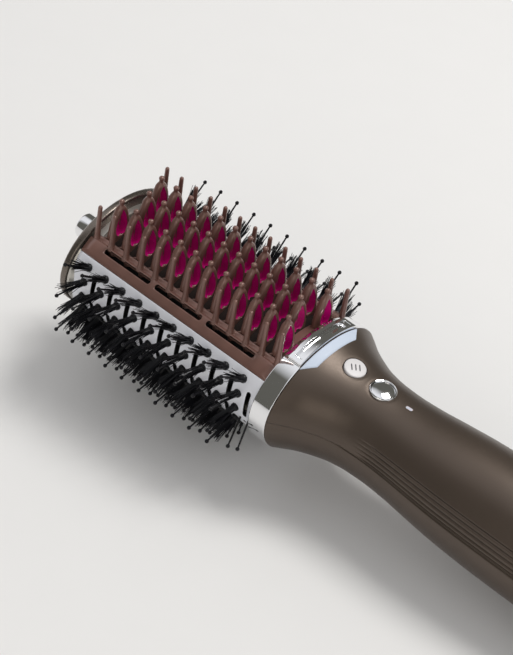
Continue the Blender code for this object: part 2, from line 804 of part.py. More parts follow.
def insert_inner(station, angle):
    depth = insert_depth + INSERT_WALL
    return oval(BARREL_HALF_WIDTH - depth, BARREL_HALF_HEIGHT - depth, angle)


insert_angle = math.asin(INSERT_HALF_WIDTH / BARREL_HALF_WIDTH)
insert_turn = angles(-insert_angle, insert_angle, PLATE_ARC_STEPS)
insert_bm = sector(insert_outer, insert_inner, ((INSERT_REAR_X,), (INSERT_TIP_X,)), insert_turn, insert_turn)
insert = part("comb_insert", insert_bm, material("insert_magenta", MAGENTA, 0.30), rest)
blades = bmesh.new()
for x, y, tip_z in fin_places():
    outline = fin_outline(
        y,
        tip_z,
        window_half - CLEARANCE,
        insert_depth + INSERT_WALL / 2.0,
        WINDOW_OUTLINE_SHARES,
        top_drop=FIN_WINDOW_TOP + 2.0 * CLEARANCE,
    )
    prism_x(blades, outline, x, INSERT_BLADE_THICKNESS)
combine(insert, guide("insert_blades", blades, rest), "UNION")

# Tip: silver ring, bronze cap with a spigot in the barrel, polished knob
ring_x = BARREL_TIP_X + RING_GAP_X
ring_end = ring_x + TIP_RING_LENGTH
ring_hw = BARREL_HALF_WIDTH + TIP_RING_PROUD
ring_hh = BARREL_HALF_HEIGHT + TIP_RING_PROUD
spigot_hw = BARREL_HALF_WIDTH - BARREL_WALL - CLEARANCE
spigot_hh = BARREL_HALF_HEIGHT - BARREL_WALL - CLEARANCE
ring_bm = oval_ring(
    (
        (ring_x, ring_hw, ring_hh, 0.0),
        (ring_end, ring_hw, ring_hh, 0.0),
        (ring_end, spigot_hw + CLEARANCE, spigot_hh + CLEARANCE, 0.0),
        (ring_x, spigot_hw + CLEARANCE, spigot_hh + CLEARANCE, 0.0),
    )
)
part("tip_ring", ring_bm, material("ring_silver", (0.70, 0.68, 0.64), 0.2, 1.0), rest)

cap_x = ring_end + CLEARANCE
cap_hw = BARREL_HALF_WIDTH + CAP_PROUD
cap_hh = BARREL_HALF_HEIGHT + CAP_PROUD
rim_end = cap_x + CAP_RIM_LENGTH
knob_x = rim_end + CAP_DOME_LENGTH
cap_stations = [
    (BARREL_TIP_X - CAP_SPIGOT_LENGTH, spigot_hw, spigot_hh, 0.0),
    (cap_x, spigot_hw, spigot_hh, 0.0),
    (cap_x, cap_hw, cap_hh, 0.0),
    (rim_end, cap_hw, cap_hh, 0.0),
]
for i in range(1, 6):
    a = math.pi / 2.0 * i / 5.0
    x = rim_end + CAP_DOME_LENGTH * math.sin(a)
    left = 1.0 - (1.0 - math.cos(a)) ** 1.15
    cap_stations.append(
        (
            x,
            KNOB_RADIUS + (cap_hw - KNOB_RADIUS) * left * 0.999,
            KNOB_RADIUS + (cap_hh - KNOB_RADIUS) * left * 0.999,
            0.0,
        )
    )
knob_seat = KNOB_RADIUS + CLEARANCE
stem_seat = KNOB_STEM_RADIUS + CLEARANCE
cap_stations[-1] = (knob_x, knob_seat + CAP_WALL, knob_seat + CAP_WALL, 0.0)
cap_stations += [
    (knob_x, knob_seat, knob_seat, 0.0),
    (knob_x - KNOB_SEAT_DEPTH, knob_seat, knob_seat, 0.0),
    (knob_x - KNOB_SEAT_DEPTH, stem_seat, stem_seat, 0.0),
    (BARREL_TIP_X - CAP_SPIGOT_LENGTH, stem_seat, stem_seat, 0.0),
]
part("end_cap", oval_ring(cap_stations), material("cap_bronze", BRONZE, 0.3, 0.85), rest)

knob_bm = bmesh.new()
knob_base = knob_x - KNOB_SEAT_DEPTH + CLEARANCE
knob_steps = (
    (BARREL_TIP_X - CAP_SPIGOT_LENGTH - knob_base, KNOB_STEM_RADIUS),
    (0.0, KNOB_STEM_RADIUS),
    (0.0, KNOB_RADIUS),
    (KNOB_LENGTH - KNOB_BEVEL, KNOB_RADIUS),
    (KNOB_LENGTH, KNOB_RADIUS - KNOB_BEVEL),
)
disc_stack(knob_bm, knob_steps, along_x(knob_base))
part("tip_knob", knob_bm, material("knob_chrome", CHROME, 0.08, 1.0), rest)

# Collar: a polished oval band with a raised bridge and a recess on top
in_hw = BARREL_HALF_WIDTH + CLEARANCE
in_hh = BARREL_HALF_HEIGHT + CLEARANCE
out_hw = in_hw + COLLAR_WALL
out_hh = in_hh + COLLAR_WALL
collar_bm = oval_ring(
    (
        (COLLAR_REAR_X, out_hw, out_hh, 0.0),
        (COLLAR_FRONT_X - COLLAR_BEVEL, out_hw, out_hh, 0.0),
        (COLLAR_FRONT_X, out_hw - COLLAR_BEVEL, out_hh - COLLAR_BEVEL, 0.0),
        (COLLAR_FRONT_X, in_hw, in_hh, 0.0),
        (COLLAR_REAR_X, in_hw, in_hh, 0.0),
    )
)
collar = part("collar_ring", collar_bm, material("collar_chrome", CHROME, 0.07, 1.0), rest)


def raised(station, angle):
    return oval(out_hw + station[1], out_hh + station[1], angle)


def sunk(station, angle):
    return oval(out_hw - station[2], out_hh - station[2], angle)


half_wall = COLLAR_WALL / 2.0
bridge_turn = angles(-BRIDGE_ANGLE, BRIDGE_ANGLE, ARC_STEPS)
bridge_stations = (
    (COLLAR_REAR_X, BRIDGE_HEIGHT, half_wall),
    (RECESS_REAR_X, BRIDGE_HEIGHT, half_wall),
    (RECESS_FRONT_X, BRIDGE_HEIGHT, half_wall),
    (BRIDGE_FRONT_X, COLLAR_BEVEL / 4.0, half_wall),
)
bridge_bm = sector(raised, sunk, bridge_stations, bridge_turn, bridge_turn)
combine(collar, guide("collar_bridge", bridge_bm, rest), "UNION")
recess_turn = angles(-RECESS_ANGLE, RECESS_ANGLE, ARC_STEPS)
recess_floor = RECESS_DEPTH - BRIDGE_HEIGHT
recess_stations = (
    (RECESS_REAR_X, BRIDGE_HEIGHT * 2.0, -BRIDGE_HEIGHT * 0.5),
    ((RECESS_REAR_X * 3.0 + RECESS_FRONT_X) / 4.0, BRIDGE_HEIGHT * 2.0, recess_floor),
    ((RECESS_REAR_X + RECESS_FRONT_X * 3.0) / 4.0, BRIDGE_HEIGHT * 2.0, recess_floor),
    (RECESS_FRONT_X, BRIDGE_HEIGHT * 2.0, -BRIDGE_HEIGHT * 0.5),
)
recess_bm = sector(raised, sunk, recess_stations, recess_turn, recess_turn)
combine(collar, guide("collar_recess", recess_bm, rest), "DIFFERENCE")

# Grip: two half shells that meet at the seam on each flank
STATIONS = grip_stations()
groove_half = GROOVE_WIDTH / 2.0 / GRIP_BELLY_RADIUS
seam_gap = CLEARANCE / 2.0 / GRIP_NECK_RADIUS
groove_angles = [GROOVE_FIRST_ANGLE + GROOVE_PITCH_ANGLE * i for i in range(GROOVE_COUNT)]


def groove_at(angle):
    """One at the bottom of a groove, zero elsewhere."""
    place = abs(angle)
    return any(abs(place - g) < groove_half / 2.0 for g in groove_angles)


def grip_outer(station, angle):
    depth = GROOVE_DEPTH if groove_at(angle) and station[0] < GROOVE_START_X else 0.0
    return oval(station[1] - depth, station[2] - depth, angle, station[3])


def grip_inner(station, angle):
    return oval(station[1] - GRIP_WALL, station[2] - GRIP_WALL, angle, station[3])


top_end = SEAM_ANGLE - seam_gap
top_turn = angles(-GROOVE_FIRST_ANGLE + groove_half * 3.0, GROOVE_FIRST_ANGLE - groove_half * 3.0, ARC_STEPS)
flank = []
for g in groove_angles:
    flank += [g - groove_half, g, g + groove_half]
flank.append(top_end)
top_outer_turn = [-a for a in flank[::-1]] + top_turn + flank
top_inner_turn = angles(-top_end, top_end, PLATE_ARC_STEPS)
upper_bm = sector(grip_outer, grip_inner, STATIONS, top_outer_turn, top_inner_turn)
upper = part("upper_grip", upper_bm, material("grip_bronze_upper", BRONZE, 0.33, 0.75), rest)

low_turn = angles(SEAM_ANGLE + seam_gap, 2.0 * math.pi - SEAM_ANGLE - seam_gap, LOWER_ARC_STEPS)
low_inner_turn = low_turn[::2]
lower_bm = sector(grip_outer, grip_inner, STATIONS, low_turn, low_inner_turn)
lower = part("lower_grip", lower_bm, material("grip_bronze_lower", BRONZE, 0.36, 0.7), rest)

# Pale tongue behind the bridge, in a notch of the upper half shell
tongue_front = COLLAR_REAR_X - CLEARANCE
tongue_rear = tongue_front - TONGUE_LENGTH


def grip_size_at(x):
    """Section of the grip at a place between its stations."""
    xs = [s[0] for s in STATIONS][::-1]
    return tuple(float(np.interp(x, xs, [s[i] for s in STATIONS][::-1])) for i in (1, 2, 3))


def tongue_skin(station, angle):
    hw, hh, rise = grip_size_at(station[0])
    return oval(hw + station[1], hh + station[1], angle * station[3], rise)


def tongue_back(station, angle):
    hw, hh, rise = grip_size_at(station[0])
    return oval(hw - station[2], hh - station[2], angle * station[3], rise)


tongue_turn = angles(-TONGUE_ANGLE, TONGUE_ANGLE, ARC_STEPS)
tongue_stations = (
    (tongue_front, TONGUE_PROUD, TONGUE_THICKNESS, 1.0),
    ((tongue_front + tongue_rear) / 2.0, TONGUE_PROUD, TONGUE_THICKNESS, (1.0 + TONGUE_CORNER_SHARE) / 2.0),
    (tongue_rear, TONGUE_PROUD, TONGUE_THICKNESS, TONGUE_CORNER_SHARE),
)
tongue_bm = sector(tongue_skin, tongue_back, tongue_stations, tongue_turn, tongue_turn)
part("collar_tongue", tongue_bm, material("tongue_pale", (0.72, 0.75, 0.82), 0.12, 0.6), rest)

margin = CLEARANCE / BARREL_HALF_HEIGHT / TONGUE_ANGLE
notch_depth = TONGUE_THICKNESS + CLEARANCE
notch_top = TONGUE_PROUD + GRIP_WALL
taper = (1.0 - TONGUE_CORNER_SHARE) / TONGUE_LENGTH
notch_stations = (
    (tongue_front + COLLAR_WALL, notch_top, notch_depth, 1.0 + taper * COLLAR_WALL + margin),
    (tongue_front, notch_top, notch_depth, 1.0 + margin),
    ((tongue_front + tongue_rear) / 2.0, notch_top, notch_depth, (1.0 + TONGUE_CORNER_SHARE) / 2.0 + margin),
    (tongue_rear - CLEARANCE, notch_top, notch_depth, TONGUE_CORNER_SHARE + margin),
)
notch_bm = sector(tongue_skin, tongue_back, notch_stations, tongue_turn, tongue_turn)
combine(upper, guide("tongue_notch", notch_bm, rest), "DIFFERENCE")


# Buttons: capped plungers that slide in the upper half shell
def button_frame(x, top_z, slant):
    """A frame at the crown of a button, Z along its travel."""
    return Matrix.Translation((x, 0.0, top_z)) @ Matrix.Rotation(slant, 4, "Y")


def grip_top(x):
    """Height of the grip's top line at a place along it."""
    hw, hh, rise = grip_size_at(x)
    return hh + rise


mode_top = grip_top(MODE_BUTTON_X) + MODE_BUTTON_PROUD
power_top = grip_top(POWER_BUTTON_X) + POWER_BUTTON_PROUD
mode_frame = button_frame(MODE_BUTTON_X, mode_top, MODE_BUTTON_TILT)
power_frame = button_frame(POWER_BUTTON_X, power_top, POWER_BUTTON_TILT)
switch_top = BOARD_TOP_Z + SWITCH_HEIGHT + SWITCH_PLUNGER_HEIGHT


def button_mesh(radius, top_z, slant):
    """A domed cap, a flange that keeps it in, and a stem to the switch."""
    bm = bmesh.new()
    slack = BUTTON_TRAVEL + CLEARANCE + BUTTON_STEM_RADIUS * abs(math.tan(slant))
    reach = (top_z - switch_top) / math.cos(slant) - slack
    steps = (
        (-reach, BUTTON_STEM_RADIUS),
        (-BUTTON_SKIRT - BUTTON_FLANGE_THICKNESS, BUTTON_STEM_RADIUS),
        (-BUTTON_SKIRT - BUTTON_FLANGE_THICKNESS, radius + BUTTON_FLANGE),
        (-BUTTON_SKIRT, radius + BUTTON_FLANGE),
        (-BUTTON_SKIRT, radius),
        (-BUTTON_DOME, radius),
        (-BUTTON_DOME * 0.35, radius * 0.82),
        (0.0, radius * 0.45),
    )
    disc_stack(bm, steps, Matrix.Identity(4), ROUND_STEPS)
    return bm


def place(obj, frame):
    obj.location = frame.to_translation()
    obj.rotation_euler = frame.to_euler()
    return obj


mode_bm = button_mesh(MODE_BUTTON_RADIUS, mode_top, MODE_BUTTON_TILT)
mode = place(part("mode_button", mode_bm, material("button_white", WHITE, 0.4), rest), mode_frame)
power_bm = button_mesh(POWER_BUTTON_RADIUS, power_top, POWER_BUTTON_TILT)
power_chrome = material("button_chrome", CHROME, 0.06, 1.0)
power = place(part("power_button", power_bm, power_chrome, rest), power_frame)
marks = bmesh.new()
for i in (-1.0, 0.0, 1.0):
    x = i * MARK_PITCH
    box(
        marks,
        (x - MARK_WIDTH / 2.0, -MARK_LENGTH / 2.0, -MARK_DEPTH),
        (x + MARK_WIDTH / 2.0, MARK_LENGTH / 2.0, BUTTON_DOME),
    )
combine(mode, place(guide("mode_marks", marks, rest), mode_frame), "DIFFERENCE")

holes = bmesh.new()
ring_seat = POWER_RING_RADIUS + CLEARANCE
power_hole = POWER_BUTTON_RADIUS + CLEARANCE
mode_hole = MODE_BUTTON_RADIUS + CLEARANCE
mode_pocket = mode_hole + BUTTON_FLANGE
pocket_low = -BUTTON_SKIRT * 3.0
pocket_top = -BUTTON_SKIRT + CLEARANCE
mode_steps = (
    (pocket_low, mode_pocket),
    (pocket_top, mode_pocket),
    (pocket_top, mode_hole),
    (HOLE_OVERRUN, mode_hole),
)
disc_stack(holes, mode_steps, mode_frame)
power_pocket = power_hole + BUTTON_FLANGE
seat_low = -RING_HEIGHT - CLEARANCE
power_steps = (
    (pocket_low, power_pocket),
    (pocket_top, power_pocket),
    (pocket_top, power_hole),
    (seat_low, power_hole),
    (seat_low, ring_seat),
    (HOLE_OVERRUN, ring_seat),
)
disc_stack(holes, power_steps, power_frame)
led_top = grip_top(LED_X) + LED_PROUD
slot_x = LED_LENGTH / 2.0 + CLEARANCE
slot_y = LED_WIDTH / 2.0 + CLEARANCE
slot_low = led_top - LED_HEIGHT - HOLE_OVERRUN
box(holes, (LED_X - slot_x, -slot_y, slot_low), (LED_X + slot_x, slot_y, led_top + HOLE_OVERRUN))
hole_guide = guide("button_holes", holes, rest)
combine(upper, hole_guide, "DIFFERENCE")

trim = bmesh.new()
trim_rows = []
trim_steps = (
    (-RING_HEIGHT, power_hole),
    (-RING_HEIGHT, POWER_RING_RADIUS),
    (RING_PROUD - BUTTON_DOME, POWER_RING_RADIUS),
    (RING_PROUD - BUTTON_DOME, power_hole),
)
for height, radius in trim_steps:
    turn = [2.0 * math.pi * i / ROUND_STEPS for i in range(ROUND_STEPS)]
    trim_rows.append([trim.verts.new((radius * math.cos(a), radius * math.sin(a), height)) for a in turn])
bridge(trim, trim_rows + [trim_rows[0]], True)
place(part("power_ring", trim, material("ring_chrome", CHROME, 0.08, 1.0), rest), power_frame)

led = bmesh.new()
box(
    led,
    (LED_X - LED_LENGTH / 2.0, -LED_WIDTH / 2.0, led_top - LED_HEIGHT),
    (LED_X + LED_LENGTH / 2.0, LED_WIDTH / 2.0, led_top),
)
part("led_lens", led, material("led_pale", (0.55, 0.72, 0.80), 0.15), rest)

# Switch board, hung on four posts of the upper half shell
board = bmesh.new()
board_low = BOARD_TOP_Z - BOARD_THICKNESS
board_half = BOARD_WIDTH / 2.0
box(board, (BOARD_REAR_X, -board_half, board_low), (BOARD_FRONT_X, board_half, BOARD_TOP_Z))
part("switch_board", board, material("board_green", (0.02, 0.12, 0.05), 0.5), rest)
posts = bmesh.new()
for x in (BOARD_REAR_X + BOARD_POST_INSET, BOARD_FRONT_X - BOARD_POST_INSET):
    for y in (-BOARD_POST_Y, BOARD_POST_Y):
        hw, hh, rise = grip_size_at(x)
        top = rise + (hh - GRIP_WALL / 2.0) * math.sqrt(1.0 - (y / hw) ** 2)
        steps = ((BOARD_TOP_Z + CLEARANCE, BOARD_POST_RADIUS), (top, BOARD_POST_RADIUS))
        disc_stack(posts, steps, Matrix.Translation((x, y, 0.0)), 10)
combine(upper, guide("board_posts", posts, rest), "UNION")


def switch_mesh(x):
    """The case of a tact switch."""
    bm = bmesh.new()
    half = SWITCH_SIZE / 2.0
    low = BOARD_TOP_Z + CLEARANCE
    box(bm, (x - half, -half, low), (x + half, half, low + SWITCH_HEIGHT))
    return bm


for name, x, top_z, slant in (
    ("mode_switch", MODE_BUTTON_X, mode_top, MODE_BUTTON_TILT),
    ("power_switch", POWER_BUTTON_X, power_top, POWER_BUTTON_TILT),
):
    foot_x = x - (top_z - switch_top) * math.tan(slant)
    switch = part(name, switch_mesh(foot_x), material(name, (0.03, 0.03, 0.03), 0.5), rest)
    low = BOARD_TOP_Z + CLEARANCE + SWITCH_HEIGHT / 2.0
    plunger = bmesh.new()
    steps = ((low, SWITCH_PLUNGER_RADIUS), (switch_top, SWITCH_PLUNGER_RADIUS))
    disc_stack(plunger, steps, Matrix.Translation((foot_x, 0.0, 0.0)), 10)
    combine(switch, guide(name + "_plunger", plunger, rest), "UNION")

# Heater: crossed plates, held in the barrel by two spiders
heater = bmesh.new()
half = HEATER_PLATE / 2.0
cross = [
    (half, half),
    (HEATER_HALF_WIDTH, half),
    (HEATER_HALF_WIDTH, -half),
    (half, -half),
    (half, -HEATER_HALF_HEIGHT),
    (-half, -HEATER_HALF_HEIGHT),
    (-half, -half),
    (-HEATER_HALF_WIDTH, -half),
    (-HEATER_HALF_WIDTH, half),
    (-half, half),
    (-half, HEATER_HALF_HEIGHT),
    (half, HEATER_HALF_HEIGHT),
]
prism_x(heater, cross, (HEATER_REAR_X + HEATER_TIP_X) / 2.0, HEATER_TIP_X - HEATER_REAR_X)
heater_core = part("heater_core", heater, material("heater_mica", (0.45, 0.38, 0.28), 0.7), rest)
arms = bmesh.new()
reach = BARREL_HALF_WIDTH - max(BARREL_WALL, STRIP_WALL) - CLEARANCE
for x in (HEATER_REAR_X, HEATER_TIP_X - HEATER_SPIDER):
    box(arms, (x, -reach, -HEATER_PLATE), (x + HEATER_SPIDER, reach, HEATER_PLATE))
combine(heater_core, guide("heater_arms", arms, rest), "UNION")

# Motor in its mount, and the fan on its shaft
motor = bmesh.new()
motor_front = MOTOR_REAR_X + MOTOR_LENGTH
disc_stack(
    motor,
    (
        (0.0, MOTOR_RADIUS * 0.9),
        (MOTOR_LENGTH * 0.04, MOTOR_RADIUS),
        (MOTOR_LENGTH * 0.96, MOTOR_RADIUS),
        (MOTOR_LENGTH, MOTOR_RADIUS * 0.9),
    ),
    along_x(MOTOR_REAR_X, 0.0, GRIP_LIFT),
)
part("motor", motor, material("motor_steel", (0.45, 0.45, 0.46), 0.35, 1.0), rest)

mount = bmesh.new()
mount_x = MOTOR_REAR_X + MOTOR_LENGTH / 2.0
mount_hw = grip_size_at(mount_x + MOTOR_MOUNT_LENGTH / 2.0)[0]
mount_out = min(mount_hw, grip_size_at(mount_x - MOTOR_MOUNT_LENGTH / 2.0)[0]) - GRIP_WALL - CLEARANCE
mount_in = MOTOR_RADIUS + CLEARANCE
turn = [2.0 * math.pi * i / RING_STEPS for i in range(RING_STEPS)]
mount_rows = []
for x, radius in (
    (mount_x - MOTOR_MOUNT_LENGTH / 2.0, mount_in),
    (mount_x - MOTOR_MOUNT_LENGTH / 2.0, mount_out),
    (mount_x + MOTOR_MOUNT_LENGTH / 2.0, mount_out),
    (mount_x + MOTOR_MOUNT_LENGTH / 2.0, mount_in),
):
    mount_rows.append(
        [mount.verts.new((x, radius * math.sin(a), radius * math.cos(a) + GRIP_LIFT)) for a in turn]
    )
bridge(mount, mount_rows + [mount_rows[0]], True)
motor_mount = part("motor_mount", mount, material("mount_black", (0.03, 0.03, 0.032), 0.55), rest)
web_in = mount_in + MOTOR_MOUNT_WALL / 2.0
web_out = mount_out - MOTOR_MOUNT_WALL / 2.0


def air_out(station, angle):
    return oval(web_out, web_out, angle, GRIP_LIFT)


def air_in(station, angle):
    return oval(web_in, web_in, angle, GRIP_LIFT)


for i in range(MOTOR_SPOKES):
    span = 2.0 * math.pi / MOTOR_SPOKES
    air_turn = angles(span * i + MOTOR_SPOKE_ANGLE / 2.0, span * (i + 1) - MOTOR_SPOKE_ANGLE / 2.0, 4)
    ends = ((mount_x - MOTOR_MOUNT_LENGTH,), (mount_x + MOTOR_MOUNT_LENGTH,))
    air = sector(air_out, air_in, ends, air_turn, air_turn)
    combine(motor_mount, guide("air_gap_%d" % (i + 1), air, rest), "DIFFERENCE")

fan = bmesh.new()
fan_steps = (
    (0.0, FAN_HUB_RADIUS * 0.75),
    (FAN_HUB_LENGTH * 0.3, FAN_HUB_RADIUS),
    (FAN_HUB_LENGTH, FAN_HUB_RADIUS),
    (FAN_HUB_LENGTH, SHAFT_RADIUS),
    (FAN_HUB_LENGTH + FAN_GAP - CLEARANCE, SHAFT_RADIUS),
)
disc_stack(fan, fan_steps, Matrix.Identity(4))
fan_x = MOTOR_REAR_X - FAN_GAP - FAN_HUB_LENGTH
fan_frame = along_x(fan_x, 0.0, GRIP_LIFT)
fan_rotor = part("fan_rotor", fan, material("fan_black", (0.025, 0.025, 0.028), 0.45), rest)
place(fan_rotor, fan_frame)
fan_radius = grip_size_at(fan_x)[0] - GRIP_WALL - FAN_TIP_GAP
vanes = bmesh.new()
for i in range(FAN_BLADES):
    spin = Matrix.Rotation(2.0 * math.pi * i / FAN_BLADES, 4, "Z")
    lean = Matrix.Rotation(FAN_BLADE_TWIST, 4, "X")
    centre = Matrix.Translation((0.0, 0.0, FAN_HUB_LENGTH / 2.0))
    half = FAN_BLADE_THICKNESS / 2.0
    tall = FAN_HUB_LENGTH * 0.42
    box(vanes, (FAN_HUB_RADIUS * 0.6, -half, -tall), (fan_radius, half, tall), spin @ centre @ lean)
vane_guide = place(guide("fan_vanes", vanes, rest), fan_frame)
combine(fan_rotor, vane_guide, "UNION")

# Rear inlet: a cup that closes the grip, with a ring of slots and a gland
inlet_front = GRIP_REAR_X - CLEARANCE
inlet_rear = inlet_front - INLET_LENGTH
plug_radius = GRIP_REAR_RADIUS - GRIP_WALL - CLEARANCE
bore = GLAND_BORE_RADIUS + CLEARANCE
inlet_bm = bmesh.new()
inlet_rows = []
for x, radius in (
    (inlet_front + INLET_SPIGOT_LENGTH, plug_radius - INLET_WALL),
    (inlet_front + INLET_SPIGOT_LENGTH, plug_radius),
    (inlet_front, plug_radius),
    (inlet_front, GRIP_REAR_RADIUS),
    (inlet_rear + INLET_BEVEL, GRIP_REAR_RADIUS),
    (inlet_rear, GRIP_REAR_RADIUS - INLET_BEVEL),
    (inlet_rear, bore),
    (inlet_rear + INLET_WALL, bore),
    (inlet_rear + INLET_WALL, plug_radius - INLET_WALL),
):
    inlet_rows.append(
        [inlet_bm.verts.new((x, radius * math.sin(a), radius * math.cos(a) + GRIP_LIFT)) for a in turn]
    )
bridge(inlet_bm, inlet_rows + [inlet_rows[0]], True)
inlet = part("inlet_grille", inlet_bm, material("inlet_dark", (0.035, 0.032, 0.030), 0.5), rest)
slots = bmesh.new()
slot_inner = bore + INLET_SLOT_BORE_GAP
slot_outer = GRIP_REAR_RADIUS - INLET_BEVEL - INLET_SLOT_EDGE_GAP
for i in range(INLET_SLOTS):
    spin = Matrix.Rotation(2.0 * math.pi * (i + 0.5) / INLET_SLOTS, 4, "Z")
    low = (slot_inner, -INLET_SLOT_WIDTH / 2.0, -INLET_WALL)
    high = (slot_outer, INLET_SLOT_WIDTH / 2.0, 2.0 * INLET_WALL)
    box(slots, low, high, along_x(inlet_rear, 0.0, GRIP_LIFT) @ spin)
combine(inlet, guide("inlet_slots", slots, rest), "DIFFERENCE")

gland = bmesh.new()
gland_front = inlet_rear + INLET_WALL + CLEARANCE + GLAND_LIP_THICKNESS
gland_rear = gland_front - GLAND_LENGTH
lip = GLAND_BORE_RADIUS + GLAND_LIP
gland_rows = []
for x, radius in (
    (gland_front, GLAND_CORD_RADIUS * 0.6),
    (gland_front, lip),
    (gland_front - GLAND_LIP_THICKNESS, lip),
    (gland_front - GLAND_LIP_THICKNESS, GLAND_BORE_RADIUS),
    (inlet_rear - CLEARANCE, GLAND_BORE_RADIUS),
    (gland_rear + GLAND_LIP, GLAND_BORE_RADIUS * 0.95),
    (gland_rear, GLAND_BORE_RADIUS * 0.85),
    (gland_rear, GLAND_CORD_RADIUS),
    (gland_rear + GLAND_CORD_DEPTH, GLAND_CORD_RADIUS),
    (gland_rear + GLAND_CORD_DEPTH, GLAND_CORD_RADIUS * 0.6),
):
    row = [gland.verts.new((x - gland_front, radius * math.sin(a), radius * math.cos(a))) for a in turn[::2]]
    gland_rows.append(row)
bridge(gland, gland_rows + [gland_rows[0]], True)
swivel = part("cord_gland", gland, material("gland_black", (0.02, 0.02, 0.022), 0.6), rest)
swivel.location = (gland_front, 0.0, GRIP_LIFT)

# Centre the whole length over the origin
bpy.context.view_layer.update()
ends = []
for obj in (bpy.data.objects["tip_knob"], swivel):
    ends += [(obj.matrix_world @ v.co).x for v in obj.data.vertices]
rest.location.x = -(min(ends) + max(ends)) / 2.0
bpy.context.view_layer.update()
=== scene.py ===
# %% [markdown]
# # Dressing a hot air brush
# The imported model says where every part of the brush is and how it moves. This
# lesson puts the real surfaces over it: a brushed barrel with tufted bristles,
# a comb of leaf-shaped fins, a polished collar and a satin grip.

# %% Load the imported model
import math

import bmesh
import bpy
import numpy as np
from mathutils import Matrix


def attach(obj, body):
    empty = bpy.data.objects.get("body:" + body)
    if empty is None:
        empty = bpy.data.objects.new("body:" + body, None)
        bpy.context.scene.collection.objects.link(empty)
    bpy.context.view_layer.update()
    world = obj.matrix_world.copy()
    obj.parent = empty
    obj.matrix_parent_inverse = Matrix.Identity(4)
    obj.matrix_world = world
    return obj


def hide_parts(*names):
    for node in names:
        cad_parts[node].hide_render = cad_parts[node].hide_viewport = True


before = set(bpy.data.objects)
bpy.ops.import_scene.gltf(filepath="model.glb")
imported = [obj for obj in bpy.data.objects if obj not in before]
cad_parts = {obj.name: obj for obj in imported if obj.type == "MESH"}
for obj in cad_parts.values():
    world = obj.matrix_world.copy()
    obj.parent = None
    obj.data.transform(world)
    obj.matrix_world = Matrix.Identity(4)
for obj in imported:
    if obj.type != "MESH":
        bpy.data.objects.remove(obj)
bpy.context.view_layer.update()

# %% [markdown]
# The brush is easiest to draw lying along its own X axis, in millimetres, with
# the comb facing up. One small turn and a shift lay each finished drawing down
# on the floor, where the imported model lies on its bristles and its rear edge.

# %% Lay the drawing down on the floor
MM = 0.001
TILT_SIN, TILT_COS = 0.0871309, 0.9961969
SHIFT_X, LIFT_Z = 53.04646, 36.21277
SIDES = (-1.0, 1.0)


def points_at(x, y, z):
    """Points (x, y, z) from arrays or numbers, spread to one common shape."""
    return np.stack(np.broadcast_arrays(x, y, z), -1)


def unit(arrows):
    """Arrows scaled to a length of 1."""
    return arrows / np.linalg.norm(arrows, axis=-1, keepdims=True)


def turned(arrows):
    """Directions of the drawing, turned by the tilt about the Y axis."""
    x, y, z = np.moveaxis(np.asarray(arrows, float), -1, 0)
    return points_at(TILT_COS * x - TILT_SIN * z, y, TILT_SIN * x + TILT_COS * z)


def laid_down(points):
    """Points of the drawing turned by the tilt, then shifted, in metres."""
    return (turned(points) + (SHIFT_X, 0.0, LIFT_Z)) * MM


print("the drawing's origin lands at", laid_down((0.0, 0.0, 0.0)))

# %% [markdown]
# Nearly every surface here is a grid: rows of points whose place is a function
# of two parameters. A grid needs only its points and the numbers of the four
# corners of each face, and both come from whole arrays, without a loop.

# %% Grids
def grid_faces(rows, columns, round_trip=False):
    """Corners of each face of a grid; round_trip joins the last column to the first."""
    i = np.arange(rows - 1)[:, None]
    j = np.arange(columns if round_trip else columns - 1)[None, :]
    k = (j + 1) % columns
    corners = (i * columns + j, i * columns + k, (i + 1) * columns + k, (i + 1) * columns + j)
    return np.stack(corners, -1).reshape(-1, 4)


def sheet(grid, round_trip=False):
    """A grid of points together with its faces."""
    return grid.reshape(-1, 3), grid_faces(*grid.shape[:2], round_trip)


def slab(top, under):
    """A closed plate between two grids of the same size: two skins and four edges."""
    points, skin = sheet(top)
    count = len(points)
    number = np.arange(count).reshape(top.shape[:2])
    rim = np.concatenate((number[0, :-1], number[:-1, -1], number[-1, :0:-1], number[:0:-1, 0]))
    after = np.roll(rim, -1)
    edge = np.stack((rim, after, after + count, rim + count), -1)
    points = np.concatenate((points, under.reshape(-1, 3)))
    return points, np.concatenate((skin, skin[:, ::-1] + count, edge))


def repeated(faces, copies, count):
    """The same faces for each of several copies that have count points each."""
    offsets = np.arange(copies)[:, None, None] * count
    return (faces[None] + offsets).reshape(-1, faces.shape[1])


def scattered(points, faces, spots, axes=None):
    """Copies of a shape: each point is spot + x*axis0 + y*axis1 + z*axis2."""
    if axes is None:
        axes = np.tile(np.eye(3), (len(spots), 1, 1))
    copies = np.einsum("pk,nkc->npc", points, axes) + spots[:, None, :]
    return copies.reshape(-1, 3), repeated(faces, len(spots), len(points))


print("a grid of 3 by 4 points has", len(grid_faces(3, 4)), "faces")

# %% [markdown]
# Every piece goes through one function. It joins its parts, merges the points
# that lie on each other, turns all faces outward, marks the sharp edges, puts
# the piece on the body it rides on, and hides the imported node it stands for.

# %% Pieces
MERGE_WITHIN, FLAT_EDGE = 0.000002, 0.000001


